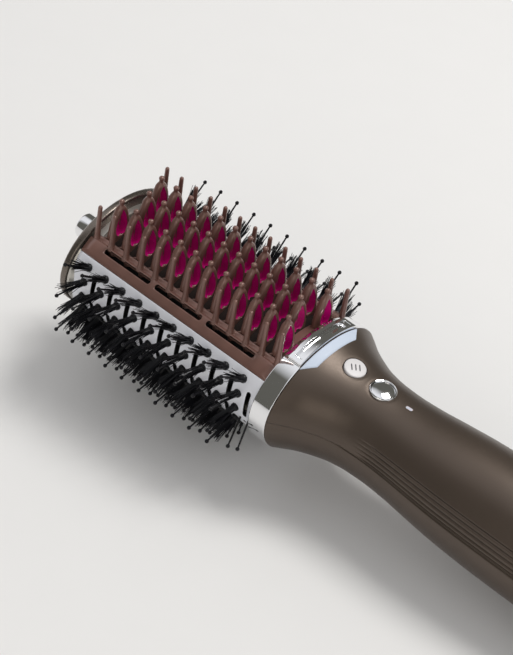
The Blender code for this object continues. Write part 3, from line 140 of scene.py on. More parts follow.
def make_piece(
    name, parts, finishes, stands_for=None, body="brush", sharp=38.0, wall=0.0, rim=0
):
    """One object from parts (points, faces, finish number or nothing for 0), laid down."""
    points, faces, marks, start = [], [], [], 0
    for spots, corners, mark in ((*part, 0)[:3] for part in parts):
        points.append(spots)
        faces.extend((corners + start).tolist())
        marks.extend([mark] * len(corners))
        start += len(spots)
    world = laid_down(np.concatenate(points))
    world[:, 2] = np.maximum(world[:, 2], 0.0)
    mesh = bpy.data.meshes.new(name)
    mesh.from_pydata(world, [], faces)
    for finish in finishes:
        mesh.materials.append(finish)
    mesh.polygons.foreach_set("material_index", marks)
    bm = bmesh.new()
    bm.from_mesh(mesh)
    bmesh.ops.remove_doubles(bm, verts=bm.verts, dist=MERGE_WITHIN)
    bmesh.ops.dissolve_degenerate(bm, edges=bm.edges, dist=FLAT_EDGE)
    bmesh.ops.recalc_face_normals(bm, faces=bm.faces)
    bm.to_mesh(mesh)
    bm.free()
    mesh.polygons.foreach_set("use_smooth", [True] * len(mesh.polygons))
    mesh.set_sharp_from_angle(angle=math.radians(sharp))
    piece = bpy.data.objects.new(name, mesh)
    bpy.context.scene.collection.objects.link(piece)
    if wall:
        thick = piece.modifiers.new("wall", "SOLIDIFY")
        thick.thickness = wall * MM
        thick.offset = -1.0
        thick.use_even_offset = True
        thick.material_offset_rim = rim
    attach(piece, body)
    if stands_for:
        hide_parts(stands_for)
    print(name, len(mesh.polygons), "faces")


# %% [markdown]
# A finish is more than a colour. Cloudy noise moves the colour a little over
# some centimetres, as moulding and plating do, and a fine noise moves the
# roughness and lifts the surface by less than a hundredth of a millimetre, so
# that a highlight breaks up as it does on the real plastic or metal.

# %% One recipe for the finishes
GRAIN_DEPTH = 0.00005
SKIN_DEPTH = 0.0015
SKIN_COLOURS = (1.0, 0.4, 0.3)


def set_sockets(tree, node, values):
    """Fills a node's inputs: a plain value is set, another node's output is linked."""
    for socket, value in values.items():
        if isinstance(value, bpy.types.NodeSocket):
            tree.links.new(value, node.inputs[socket])
        else:
            node.inputs[socket].default_value = value
    return node


def add_node(tree, kind, values, **options):
    """A new node of a kind, with its options set before its inputs are filled."""
    node = tree.nodes.new("ShaderNode" + kind)
    for option, value in options.items():
        setattr(node, option, value)
    return set_sockets(tree, node, values)


def noise_at(tree, coords, scale, detail, stretch=(1.0, 1.0, 1.0)):
    """Noise read at Object coordinates, stretched along the brush by a Mapping node."""
    place = add_node(tree, "Mapping", {"Scale": stretch, "Vector": coords.outputs["Object"]})
    values = {"Scale": scale, "Detail": detail, "Vector": place.outputs["Vector"]}
    return add_node(tree, "TexNoise", values).outputs["Fac"]


def spread(tree, source, low, high):
    """A value from the middle of a noise, moved to the range low to high."""
    values = {"From Min": 0.3, "From Max": 0.7, "To Min": low, "To Max": high, "Value": source}
    return add_node(tree, "MapRange", values).outputs["Result"]


def mixed(tree, factor, low, high):
    """A colour between low and high, each a colour or another node's output."""
    values = {"Factor": factor, "A": low, "B": high}
    return add_node(tree, "Mix", values, data_type="RGBA").outputs["Result"]


def make_finish(
    name, colour, roughness, metallic=0.0, cloud=0.06, cloud_scale=45.0, grain=900.0, bump=0.08,
    rough_spread=0.15, coat=0.0, coat_roughness=0.1, stretch=(1.0, 1.0, 1.0), specular=0.5,
    subsurface=0.0,
):
    """A Principled surface: cloudy colour, and a grain in its roughness and bump."""
    material = bpy.data.materials.new(name)
    material.use_nodes = True
    tree = material.node_tree
    coords = add_node(tree, "TexCoord", {})
    wide = spread(tree, noise_at(tree, coords, cloud_scale, 3.0), 0.0, 1.0)
    fine = noise_at(tree, coords, grain, 2.0, stretch)
    shares = (1.0 - cloud, 1.0 + cloud)
    darker, paler = ((*(min(1.0, c * share) for c in colour), 1.0) for share in shares)
    smoother, rougher = roughness * (1.0 - rough_spread), roughness * (1.0 + rough_spread)
    relief = add_node(tree, "Bump", {"Strength": bump, "Distance": GRAIN_DEPTH, "Height": fine})
    values = {
        "Base Color": mixed(tree, wide, darker, paler),
        "Roughness": spread(tree, fine, smoother, rougher),
        "Normal": relief.outputs["Normal"],
        "Metallic": metallic,
        "Coat Weight": coat,
        "Coat Roughness": coat_roughness,
        "Specular IOR Level": specular,
        "Subsurface Weight": subsurface,
        "Subsurface Radius": SKIN_COLOURS,
        "Subsurface Scale": SKIN_DEPTH,
    }
    set_sockets(tree, tree.nodes["Principled BSDF"], values)
    return material


# %% [markdown]
# The finishes, by what they cover. Colours are linear values of what the
# surface looks like in plain light, except the near-black finishes that are
# painted shade. Brushed metal gets a grain that is drawn out round the barrel;
# the satin paint of the grip has metal flake under it.

# %% The finishes of this brush
barrel_silver = make_finish(
    "barrel_silver", (0.79, 0.80, 0.85), 0.34, 0.15, cloud=0.03, grain=700.0,
    stretch=(4.0, 1.0, 1.0),
)
# Painted shade: near-black for the barrel's slot walls and for skins under the slots, where there
# is only shade.
painted_shade_black = make_finish("painted_shade_black", (0.010, 0.010, 0.011), 0.7, grain=500.0)
bristle_nylon = make_finish(
    "bristle_nylon", (0.0030, 0.0030, 0.0048), 0.34, cloud=0.3, cloud_scale=300.0, grain=1500.0,
    specular=0.33,
)
comb_brown = make_finish(
    "comb_brown", (0.185, 0.094, 0.074), 0.34, 0.25, cloud=0.10, coat=0.5, coat_roughness=0.15
)
# Painted shade: a near-black brown for the comb's tray between the fins and for the vent walls,
# where the fins and the plate shade them.
comb_painted_shade = make_finish("comb_painted_shade", (0.018, 0.012, 0.010), 0.7, specular=0.15)
leaf_magenta = make_finish(
    "leaf_magenta", (0.60, 0.004, 0.195), 0.24, cloud_scale=90.0, bump=0.03, coat=0.2,
    subsurface=0.1,
)
cap_bronze = make_finish(
    "cap_bronze", (0.17, 0.145, 0.125), 0.30, 0.85, grain=1400.0, bump=0.05
)
ring_silver = make_finish("ring_silver", (0.52, 0.50, 0.46), 0.34, 0.8, grain=800.0, bump=0.05)
chrome = make_finish(
    "chrome", (0.86, 0.86, 0.87), 0.07, 1.0, cloud=0.02, grain=260.0, bump=0.02,
    rough_spread=0.35,
)
tongue_pale = make_finish(
    "tongue_pale", (0.56, 0.63, 0.74), 0.5, cloud=0.03, grain=600.0, bump=0.03, specular=0.25
)
grip_bronze = make_finish(
    "grip_bronze", (0.094, 0.070, 0.054), 0.40, 0.60, cloud=0.05, cloud_scale=30.0, grain=2600.0,
    bump=0.12, coat=0.12, coat_roughness=0.35,
)
button_white = make_finish(
    "button_white", (0.66, 0.64, 0.64), 0.42, cloud=0.02, grain=1200.0, bump=0.06
)
mark_grey = make_finish("mark_grey", (0.060, 0.058, 0.064), 0.5, grain=1500.0)
led_pale = make_finish(
    "led_pale", (0.62, 0.61, 0.68), 0.15, cloud=0.05, grain=700.0, coat=0.5, subsurface=0.2
)
print(len(bpy.data.materials), "finishes")

# %% [markdown]
# The camera comes before the pieces, so that every later step can be looked at
# from where the brush will be seen: above and behind it, a little rolled, with
# a long lens, because near and far bristles are drawn at almost one scale.

# %% The camera
AZIMUTH, ELEVATION, ROLL = (math.radians(turn) for turn in (124.1, 42.0, 10.7))
AIM = np.array((30.1, -3.8, 4.4))
DISTANCE = 758.0
LENS, FILM = 110.36, 36.0

flat = math.cos(ELEVATION)
back = np.array((flat * math.cos(AZIMUTH), flat * math.sin(AZIMUTH), math.sin(ELEVATION)))
level_right = np.array((-math.sin(AZIMUTH), math.cos(AZIMUTH), 0.0))
level_up = np.cross(back, level_right)
right = math.cos(ROLL) * level_right + math.sin(ROLL) * level_up
up = -math.sin(ROLL) * level_right + math.cos(ROLL) * level_up


def aimed(name, data, place, axes):
    """An object at a place, its X, Y and Z axes along three directions."""
    matrix = np.eye(4)
    matrix[:3, :3] = np.transpose(axes)
    matrix[:3, 3] = place
    obj = bpy.data.objects.new(name, data)
    obj.matrix_world = matrix.T.tolist()
    bpy.context.scene.collection.objects.link(obj)
    return obj


eye = bpy.data.cameras.new("eye")
eye.lens = LENS
eye.sensor_width = FILM
eye.clip_start = 0.01
eye_place = laid_down(AIM + DISTANCE * back)
bpy.context.scene.camera = aimed("camera", eye, eye_place, turned((right, up, back)))
bpy.context.scene.view_settings.view_transform = "Standard"
print("camera stands at", eye_place)

# %% [markdown]
# The barrel's section is an oval. Everything on the head is placed by an angle
# round that oval, from the top towards +Y, and a depth in or out of its skin.
# On its flanks the real skin is drawn in by a good millimetre, and only there.

# %% The oval of the head
BARREL_HALF_WIDTH, BARREL_HALF_HEIGHT, BARREL_LIFT = 30.0, 22.4, 1.5
BARREL_REAR, BARREL_TIP = -2.0, 96.3
COLLAR_REAR, COLLAR_FRONT = -5.0, 2.9
COMB_EDGE = math.radians(55.3)
FLANK_DRAWN_IN, DRAWN_WITHIN = 1.2, 3.0


def oval(half_width, half_height, angle, lift=0.0):
    """Points (y, z) = (half width * sine, half height * cosine + lift) of an oval."""
    return half_width * np.sin(angle), half_height * np.cos(angle) + lift


def eased(value):
    """A smooth step from 0 to 1: 3v^2 - 2v^3 with v kept between 0 and 1."""
    v = np.clip(value, 0.0, 1.0)
    return v * v * (3.0 - 2.0 * v)


def folded(angle):
    """The size of an angle from the top, between 0 and pi on either side."""
    return np.abs((angle + math.pi) % (2.0 * math.pi) - math.pi)


def barrel_oval(x, angle, out, drawn=0.0):
    """A point on the barrel's oval, moved out, and less wide by the part drawn in."""
    wide = BARREL_HALF_WIDTH - drawn + out
    return points_at(x, *oval(wide, BARREL_HALF_HEIGHT + out, angle, BARREL_LIFT))


def barrel_skin(x, angle, out=0.0):
    """A point of the barrel's skin, drawn in on the flanks away from the collar."""
    share = (folded(angle) - COMB_EDGE) / (math.pi - 2.0 * COMB_EDGE)
    drawn = FLANK_DRAWN_IN * np.sin(math.pi * np.clip(share, 0.0, 1.0)) ** 2
    return barrel_oval(x, angle, out, drawn * eased((x - COLLAR_FRONT) / DRAWN_WITHIN))


def outward(angle):
    """Unit normal of the oval: (0, sine / half width, cosine / half height), scaled."""
    y, z = np.sin(angle) / BARREL_HALF_WIDTH, np.cos(angle) / BARREL_HALF_HEIGHT
    return unit(points_at(0.0, y, z))


print("skin at the comb's edge", barrel_skin(50.0, COMB_EDGE))

# %% [markdown]
# Air leaves through slots between the tufts. A round-ended hole in a curved
# sheet can be cut with a boolean, but that leaves slivers that shade badly.
# Here each hole sits in a tile of its own: rings of points run from the hole's
# edge out to the tile's rectangle, and the tiles share their edges with their
# neighbours, so that merging the doubles makes one clean skin.

# %% Tiles with a round-ended hole
RING_CROWDING = 1.6


def even(low, high, steps):
    """Evenly spaced lines from low to high."""
    return np.linspace(low, high, steps + 1)


def lines_through(edges, steps):
    """Evenly spaced lines through every edge, with so many steps from each to the next."""
    spans = zip(edges[:-1], edges[1:], np.broadcast_to(steps, len(edges) - 1))
    return np.concatenate([even(a, b, n)[:-1] for a, b, n in spans] + [edges[-1:]])


def tile_rim(a, b):
    """Points round the square from -1 to 1, at the places a along X and b along Y."""
    one_a, one_b = np.ones(len(a) - 1), np.ones(len(b) - 1)
    edges = ((a[:-1], -one_a), (one_b, b[:-1]), (a[:0:-1], one_a), (-one_b, b[:0:-1]))
    return np.concatenate([np.stack(edge, -1) for edge in edges])


def hole_rim(square, half_x, half_y):
    """The same points moved to a round-ended slot: a straight core plus a turning radius."""
    radius = min(half_x, half_y)
    core = np.array((half_x - radius, half_y - radius))
    if core[0] == core[1]:
        return square * core + radius * unit(square)
    along = int(core[1] > core[0])
    swing, flat = np.zeros_like(square), np.zeros_like(square)
    turn = square[:, 1 - along] * math.pi / 2.0
    swing[:, along] = square[:, along] * np.cos(turn)
    swing[:, 1 - along] = np.sin(turn)
    flat[:, 1 - along] = np.sign(square[:, 1 - along])
    arrow = np.where(np.abs(square[:, along, None]) > 0.999, swing, flat)
    return square * core + radius * arrow


def holed_tile(x_lines, u_lines, hole, rings=4):
    """Flat rings (x, u) from a hole (x, u, half x, half u) out to the tile's edge lines."""
    middle = np.array((x_lines[0] + x_lines[-1], u_lines[0] + u_lines[-1])) / 2.0
    half = np.array((x_lines[-1] - x_lines[0], u_lines[-1] - u_lines[0])) / 2.0
    square = tile_rim((x_lines - middle[0]) / half[0], (u_lines - middle[1]) / half[1])
    edge = np.array(hole[:2]) + hole_rim(square, *hole[2:])
    way = (np.linspace(0.0, 1.0, rings + 1) ** RING_CROWDING)[:, None, None]
    flat = edge * (1.0 - way) + (middle + square * half) * way
    return *flat.reshape(-1, 2).T, grid_faces(rings + 1, len(square), True)


def plain_tile(x_lines, u_lines):
    """A flat grid on its lines: every x, every u, and the faces."""
    x, u = np.meshgrid(x_lines, u_lines, indexing="ij")
    return x.ravel(), u.ravel(), grid_faces(len(x_lines), len(u_lines))


print("points round one tile:", len(tile_rim(even(-1.0, 1.0, 6), even(-1.0, 1.0, 8))))

# %% [markdown]
# Ten columns of tufts stand 8.75 mm apart, in twenty rows. Four rows on each
# flank stand at measured angles. Those below are even along the oval: equal
# steps of the angle would crowd them where it is flat, so the length of the
# curve is added up, and the rows are read off that table.

# %% Rows and columns of tufts
TUFT_FIRST_X, TUFT_PITCH = 10.85, 8.75
TUFT_COLUMNS, TUFT_ROWS = 10, 20
FLANK_ROW_ANGLES = np.radians((64.3, 80.8, 98.5, 115.0))

fine_angle = np.linspace(COMB_EDGE, 2.0 * math.pi - COMB_EDGE, 4001)
fine_y, fine_z = oval(BARREL_HALF_WIDTH, BARREL_HALF_HEIGHT, fine_angle)
fine_run = np.concatenate(([0.0], np.cumsum(np.hypot(np.diff(fine_y), np.diff(fine_z)))))
whole_run = fine_run[-1]


def run_of(angle):
    """Length of the oval's curve from the comb's edge to an angle."""
    return np.interp(angle, fine_angle, fine_run)


def angle_of(run):
    """The angle at a length along the oval's curve."""
    return np.interp(run, fine_run, fine_angle)


flank_runs = run_of(FLANK_ROW_ANGLES)
under_rows = TUFT_ROWS // 2 - len(flank_runs)
row_gap = (whole_run / 2.0 - flank_runs[-1]) / (under_rows + 0.5)
half_runs = np.concatenate((flank_runs, flank_runs[-1] + row_gap * np.arange(1, under_rows + 1)))
row_runs = np.concatenate((half_runs, whole_run - half_runs[::-1]))
column_xs = TUFT_FIRST_X + TUFT_PITCH * np.arange(TUFT_COLUMNS)
print("rows below stand", round(float(row_gap), 2), "mm apart")

# %% [markdown]
# Between two columns there are three slots on each side. By the collar there is
# one long slot with a dot below it. The far side is the near side mirrored, so
# each hole is written once, with the grid lines that its tile lies between.

# %% The barrel's skin
SLOT_ROWS, SLOT_FIRST_ANGLE, SLOT_STEP = 3, math.radians(81.5), 11.6
SLOT_HALF_WIDTH, SLOT_HALF_LENGTH, SLOT_SHIFT = 1.05, 4.5, 0.2
LONG_SLOT_X, LONG_SLOT_ANGLE, DOT_ANGLE = 6.3, math.radians(87.6), math.radians(111.5)
BAND_FACES, LONG_SLOT_LINE, DOT_LINE = 8, 19, 22
COLUMN_FACES = 6
slot_runs = run_of(SLOT_FIRST_ANGLE) + SLOT_STEP * np.arange(SLOT_ROWS)
band_edges = np.concatenate((slot_runs - SLOT_STEP / 2.0, [slot_runs[-1] + SLOT_STEP / 2.0]))
band_edges = np.concatenate(([0.0], band_edges, whole_run - band_edges[::-1], [whole_run]))
skin_u = lines_through(band_edges, BAND_FACES)
last_line = len(skin_u) - 1
between_columns = [
    ((number + 1) * BAND_FACES, (number + 2) * BAND_FACES, run, SLOT_HALF_WIDTH, SLOT_HALF_LENGTH)
    for number, run in enumerate(slot_runs)
]
by_the_collar = [
    (BAND_FACES, LONG_SLOT_LINE, run_of(LONG_SLOT_ANGLE), 1.0, 6.2),
    (LONG_SLOT_LINE, DOT_LINE, run_of(DOT_ANGLE), 0.7, 0.7),
]


def strip_of_skin(x_lines, place, holes):
    """Tiles from edge to edge: holes (first line, last line, run, half x, half u)."""
    other_side = [
        (last_line - b, last_line - a, whole_run - run, *half) for a, b, run, *half in holes[::-1]
    ]
    line, tiles = 0, []
    for first, last, *hole in holes + other_side:
        if first > line:
            tiles.append(plain_tile(x_lines, skin_u[line : first + 1]))
        tiles.append(holed_tile(x_lines, skin_u[first : last + 1], (place, *hole)))
        line = last
    return tiles + [plain_tile(x_lines, skin_u[line:])]


first_lines = even(COLLAR_FRONT, column_xs[0], COLUMN_FACES)
skin_tiles = strip_of_skin(first_lines, LONG_SLOT_X, by_the_collar)
for near, far in zip(column_xs[:-1], column_xs[1:]):
    place = (near + far) / 2.0 - SLOT_SHIFT
    skin_tiles += strip_of_skin(even(near, far, COLUMN_FACES), place, between_columns)
skin_tiles.append(plain_tile(even(column_xs[-1], BARREL_TIP, 4), skin_u))
skin_tiles.append(plain_tile(even(BARREL_REAR, COLLAR_FRONT, 2), skin_u))
skin_parts = [(barrel_skin(x, angle_of(u)), faces) for x, u, faces in skin_tiles]
# Painted shade: the slot walls and the skin's cut edges take the near-black finish, for the shade
# inside the slots.
make_piece(
    "barrel_skin", skin_parts, [barrel_silver, painted_shade_black], "barrel_shell",
    wall=0.9, rim=1,
)

# %% [markdown]
# Through the slots of the real barrel one sees only shade. Two near-black skins
# some millimetres below the barrel's, joined at both ends, are painted shade:
# they stop every look inside with a black that stands for that shade.

# %% A tunnel of painted shade under the slots
TUNNEL_DEPTHS = (5.2, 5.8)
tunnel_x = np.linspace(BARREL_REAR + 1.0, BARREL_TIP - 4.2, 24)[:, None]
tunnel_turn = np.linspace(0.0, 2.0 * math.pi, 97)[None, :-1]
tunnel_skins = [barrel_skin(tunnel_x, tunnel_turn, -depth) for depth in TUNNEL_DEPTHS]
tunnel_ends = [np.stack([skin[end] for skin in tunnel_skins]) for end in (0, -1)]
make_piece("painted_shade_tunnel", [sheet(grid, True) for grid in tunnel_skins + tunnel_ends], [painted_shade_black])

# %% [markdown]
# A tuft is a plug of nylon that breaks up into single bristles, and out of it
# stands one stiff pin with a ball on its end. Hair particles would be the
# quick way, but they aren't a mesh. So one bristle is drawn as a three-sided
# tapered rod, and arrays place, lean and bend every copy of it at once.

# %% Bristles and pins
HAIR_SIDES, HAIR_STEPS, HAIR_RADII = 3, 2, (0.19, 0.11)
PIN_SIDES, PIN_FOOT, PIN_NECK, BALL_RADIUS = 7, 0.42, 0.34, 0.82


def ring_of(sides):
    """Cosines and sines of evenly spaced corners."""
    turn = 2.0 * math.pi * np.arange(sides) / sides
    return np.cos(turn), np.sin(turn)


def hairs_along(roots, bends, tips):
    """Tapered rods on curves root + t*bend + t^2*(tip - bend), all at once."""
    ring = np.tile(np.stack(ring_of(HAIR_SIDES), -1), (HAIR_STEPS + 1, 1))
    height = np.repeat(np.linspace(0.0, 1.0, HAIR_STEPS + 1), HAIR_SIDES)
    arrow = unit(tips)
    across = unit(np.cross(arrow, (1.0, 0.02, 0.03)))
    over = np.cross(arrow, across)
    t = height[None, :, None]
    spine = roots[:, None] + t * bends[:, None] + t**2 * (tips - bends)[:, None]
    side = ring[None, :, :1] * across[:, None] + ring[None, :, 1:] * over[:, None]
    points = spine + side * (HAIR_RADII[0] + (HAIR_RADII[1] - HAIR_RADII[0]) * t)
    skin = grid_faces(HAIR_STEPS + 1, HAIR_SIDES, True)
    cap = np.arange(HAIR_SIDES)[None] + HAIR_STEPS * HAIR_SIDES
    return [(points.reshape(-1, 3), repeated(f, *points.shape[:2])) for f in (skin, cap)]


def turned_shape(radii, heights, sides):
    """A lathe shape about Z: radius and height of each ring, closed where the radius is 0."""
    x, y = (np.outer(radii, part) for part in ring_of(sides))
    return sheet(points_at(x, y, np.asarray(heights, float)[:, None]), True)


def axes_for(arrows):
    """Three unit axes for each direction: two across it and itself."""
    z = unit(arrows)
    x = unit(np.cross(z, (0.03, 1.0, 0.05)))
    return np.stack((x, np.cross(z, x), z), 1)


def ball_pins(roots, arrows, length):
    """Straight tapered pins that end in a ball, as lathe shapes on their roots."""
    way = np.linspace(0.12 * math.pi, math.pi, 6)
    radii = np.concatenate(([PIN_FOOT, PIN_NECK], BALL_RADIUS * np.sin(way)))
    ball = length - BALL_RADIUS - BALL_RADIUS * np.cos(way)
    heights = np.concatenate(([0.0, length - BALL_RADIUS * 1.8], ball))
    return scattered(*turned_shape(radii, heights, PIN_SIDES), roots, axes_for(arrows))


print("points in one bristle:", (HAIR_STEPS + 1) * HAIR_SIDES)

# %% [markdown]
# The rows differ. Those on the flanks hang down a little, and those below are
# longer, because the real brush is rounder than its barrel. Each tuple has one
# value for each row from the comb's edge down to the middle of the underside.

# %% The bristle strips
ROW_PINS = (15.0, 15.0, 15.0, 15.0, 13.0, 13.0, 14.4, 15.8, 16.4, 16.4)
ROW_DROOPS = np.radians((0.0, 9.0, 6.0, 0.0, 0.0, 0.0, 0.0, 0.0, 0.0, 0.0))
ROW_LEANS = (1.5, 0.7, 1.0, 3.0, 2.0, 2.0, 1.5, 1.0, 0.5, 0.5)
ROW_TUFTS = (10.4, 11.6, 12.0, 12.0, 10.6, 10.6, 11.5, 12.6, 13.1, 13.1)
BARE_ROWS = (4, 8)
PLUG_RADII = (1.70, 1.70, 1.60, 1.30, 1.15, 0.8, 0.0)
PLUG_HEIGHTS = (0.0, 0.7, 1.1, 1.4, 3.0, 4.4, 4.8)
ROOT_DEPTH = 0.3
TUFT_LEAN, LEAN_SPREAD, SIDE_SPREAD, PIN_SPREAD = 1.7, 0.25, 0.5, 0.35
TUFT_HAIRS, HAIR_ROOT_SPREAD = 46, 1.25
HAIR_REACHES, HAIR_LENGTHS = (0.2, 1.0), (0.66, 1.06)
HAIR_FLARES, HAIR_BOWS = (-0.2, 2.0), (-0.4, 0.5)
LONE_STRIPS, LONE_LENGTH = {2: 1.0, 7: -1.0}, 13.0
LONE_X, LONE_ANGLES = np.array((8.3, 4.1)), np.radians((108.0, 105.0))
LONE_ARROWS = np.array(((-0.15, 0.616, -0.788), (-0.05, 0.375, -0.927)))
chance = np.random.default_rng(11)


def drooped(angle, droop):
    """The outward normal at an angle of the oval, turned down by the droop, and the way round."""
    out = outward(angle)
    around = points_at(0.0, out[:, 2], -out[:, 1])
    side = np.where(angle < math.pi, 1.0, -1.0)
    swung = out * np.cos(droop)[:, None] + around * (side * np.sin(droop))[:, None]
    return swung, points_at(0.0, swung[:, 2], -swung[:, 1])


def loose_hairs(root, arrow, along, around):
    """Bristles scattered round each tuft's arrow: long or short, flared and bowed."""
    many = len(root) * TUFT_HAIRS
    which = np.repeat(np.arange(len(root)), TUFT_HAIRS)
    spin = chance.uniform(0.0, 2.0 * math.pi, many)
    reach = np.sqrt(chance.uniform(*HAIR_REACHES, many))
    spray = along[which] * (reach * np.cos(spin))[:, None]
    spray += around[which] * (reach * np.sin(spin))[:, None]
    middle = arrow[which] * chance.uniform(*HAIR_LENGTHS, many)[:, None]
    tips = middle + spray * chance.uniform(*HAIR_FLARES, many)[:, None]
    bends = middle + spray * chance.uniform(*HAIR_BOWS, many)[:, None]
    return hairs_along(root[which] + spray * HAIR_ROOT_SPREAD, bends, tips)


def bristle_strip(number):
    """Two rows of tufts: plugs, loose bristles round each plug, and ball pins."""
    runs = row_runs[2 * number : 2 * number + 2]
    x, run = (v.ravel() for v in np.meshgrid(column_xs, runs, indexing="ij"))
    row = np.tile((2 * number, 2 * number + 1), TUFT_COLUMNS)
    row = np.minimum(row, TUFT_ROWS - 1 - row)
    stands = (x > TUFT_FIRST_X + 1.0) | (row < BARE_ROWS[0]) | (row > BARE_ROWS[1])
    x, run, row = x[stands], run[stands], row[stands]
    pins, leans, tufts = (np.array(v)[row][:, None] for v in (ROW_PINS, ROW_LEANS, ROW_TUFTS))
    angle = angle_of(run)
    root = barrel_skin(x, angle, -ROOT_DEPTH)
    out, around = drooped(angle, ROW_DROOPS[row])
    along = np.tile((1.0, 0.0, 0.0), (len(x), 1))
    lean = along * chance.normal(TUFT_LEAN, LEAN_SPREAD, (len(x), 1))
    lean += around * chance.normal(0.0, SIDE_SPREAD, (len(x), 1))
    arrow = out * tufts + lean
    parts = [scattered(*turned_shape(PLUG_RADII, PLUG_HEIGHTS, 10), root, axes_for(arrow))]
    parts += loose_hairs(root, arrow, along, around)
    pin_arrow = out * pins + along * leans + around * chance.normal(0.0, PIN_SPREAD, (len(x), 1))
    for one_row in np.unique(row):
        of_row = row == one_row
        pin_roots = (root + out * ROOT_DEPTH)[of_row]
        parts.append(ball_pins(pin_roots, pin_arrow[of_row], ROW_PINS[one_row]))
    if number in LONE_STRIPS:
        side = LONE_STRIPS[number]
        spots = barrel_skin(LONE_X, LONE_ANGLES * side, -ROOT_DEPTH)
        parts.append(ball_pins(spots, LONE_ARROWS * (1.0, side, 1.0), LONE_LENGTH))
    label = "%02d" % (number + 1)
    node = "bristle_strip_" + label
    make_piece("bristles_" + label, parts, [bristle_nylon], node)


for strip_number in range(TUFT_ROWS // 2):
    bristle_strip(strip_number)

# %% [markdown]
# The comb plate closes the top of the barrel. Along each edge runs a smooth
# band with three long vents, which are tiles again. Inside them the plate is a
# step lower, and between the two rows of pins lies a tray, deeper still. The
# tray between the fins and the walls of the vents are coloured near-black as
# painted shade, for the shade that the dense fins cast there.

# %% The comb plate
VENT_ANGLE, BAND_INNER, TRAY_EDGE = (
    math.asin(y / BARREL_HALF_WIDTH) for y in (20.7, 19.2, 17.4)
)
LEDGE_EDGE, EDGE_ROUNDING = BAND_INNER + 0.012, 0.02
LEDGE_SLOPE, TRAY_SLOPE = 0.03, 0.05
PLATE_OUT, LEDGE_DROP, TRAY_DROP, EDGE_DROP = 0.25, 0.75, 3.3, 0.35
PLATE_ARC = 21.5
VENT_EDGES = (COLLAR_FRONT, 36.9, 62.9, BARREL_TIP)
VENT_CENTRES, VENT_HALF_LENGTH, VENT_HALF_WIDTH = (23.9, 49.9, 75.9), 11.75, 0.9
VENT_FACES = 24
# Painted shade: along this stretch the tray's floor is coloured near-black.
SHADE_PAINT_FROM, SHADE_PAINT_TO = 9.0, 93.0


def plate_skin(x, angle):
    """The oval, a step lower inside the vents, lower between the pins, round at its edges."""
    ledge = eased((LEDGE_EDGE - np.abs(angle)) / LEDGE_SLOPE)
    tray = eased((TRAY_EDGE - np.abs(angle)) / TRAY_SLOPE)
    rim = eased((np.abs(angle) - COMB_EDGE + EDGE_ROUNDING) / EDGE_ROUNDING)
    drop = (LEDGE_DROP * ledge + TRAY_DROP * tray + EDGE_DROP * rim)[..., None]
    return barrel_oval(x, angle, PLATE_OUT) - outward(angle) * drop


plate_parts = []
band_lines = even(LEDGE_EDGE, COMB_EDGE - EDGE_ROUNDING, 8)
rim_lines = even(COMB_EDGE - EDGE_ROUNDING, COMB_EDGE, 4)
for side in SIDES:
    for low_x, high_x, vent_x in zip(VENT_EDGES[:-1], VENT_EDGES[1:], VENT_CENTRES):
        x_lines = even(low_x, high_x, VENT_FACES)
        hole = (vent_x, VENT_ANGLE * PLATE_ARC, VENT_HALF_LENGTH, VENT_HALF_WIDTH)
        x, u, faces = holed_tile(x_lines, band_lines * PLATE_ARC, hole)
        plate_parts.append((plate_skin(x, side * u / PLATE_ARC), faces))
        x, u, faces = plain_tile(x_lines, rim_lines)
        plate_parts.append((plate_skin(x, side * u), faces))
middle_x = lines_through(VENT_EDGES, VENT_FACES)[:-1]
step_edges = (0.0, TRAY_EDGE - 0.06, TRAY_EDGE + 0.004, BAND_INNER - 0.020, LEDGE_EDGE)
step_angles = lines_through(step_edges, (12, 8, 2, 6))
step_angles = np.concatenate((-step_angles[:0:-1], step_angles))
points, faces = sheet(plate_skin(middle_x[:, None], step_angles[None, :]))
face_x, face_y = points[faces].mean(1).T[:2]
tray_half_width = BARREL_HALF_WIDTH * math.sin(TRAY_EDGE - 0.045)
# Painted shade: the faces of the tray between the fins take the near-black finish.
painted_shade_faces = (face_x > SHADE_PAINT_FROM) & (face_x < SHADE_PAINT_TO) & (np.abs(face_y) < tray_half_width)
plate_parts += [(points, faces[~painted_shade_faces]), (points, faces[painted_shade_faces], 1)]
# Painted shade: the wall's rim, with the vent walls in it, takes the near-black finish.
make_piece(
    "comb_plate_skin", plate_parts, [comb_brown, comb_painted_shade], "comb_plate",
    wall=1.6, rim=1,
)

# %% [markdown]
# A fin is a leaf that stands across the brush: a ball, a neck, a shoulder, and
# below it two long flanks. A window in it is filled by a magenta blade that is
# hollow on both faces. Cutting the window with a boolean would leave slivers, so
# the grid's own lines follow the outline of the window, from row to row.

# %% The shape of a fin
FIN_DEPTHS, FIN_WIDE, FIN_THICK = np.array(
    (
        (0.0, 0.0, 0.0), (0.1, 0.5, 0.5), (0.4, 0.92, 0.92), (0.9, 1.15, 1.12), (1.5, 1.05, 1.0),
        (2.1, 0.9, 0.86), (2.7, 0.95, 0.92), (3.2, 1.45, 1.22), (3.7, 1.9, 1.36), (4.3, 2.25, 1.42),
        (5.2, 2.75, 1.46), (6.5, 3.4, 1.48), (8.0, 3.98, 1.5), (9.5, 4.4, 1.5), (11.0, 4.7, 1.5),
        (12.5, 4.95, 1.52), (14.0, 5.2, 1.6), (18.4, 5.6, 1.9),
    )
).T
LEAF_DEPTHS, LEAF_WIDE = np.array(
    (
        (4.3, 0.0), (4.7, 0.42), (5.3, 0.85), (6.1, 1.35), (7.1, 1.9), (8.2, 2.42), (9.3, 2.85),
        (10.4, 3.18), (11.5, 3.4), (12.6, 3.5), (13.6, 3.46), (14.5, 3.24), (15.3, 2.8),
        (15.9, 2.2), (16.3, 1.4), (16.5, 0.0),
    )
).T
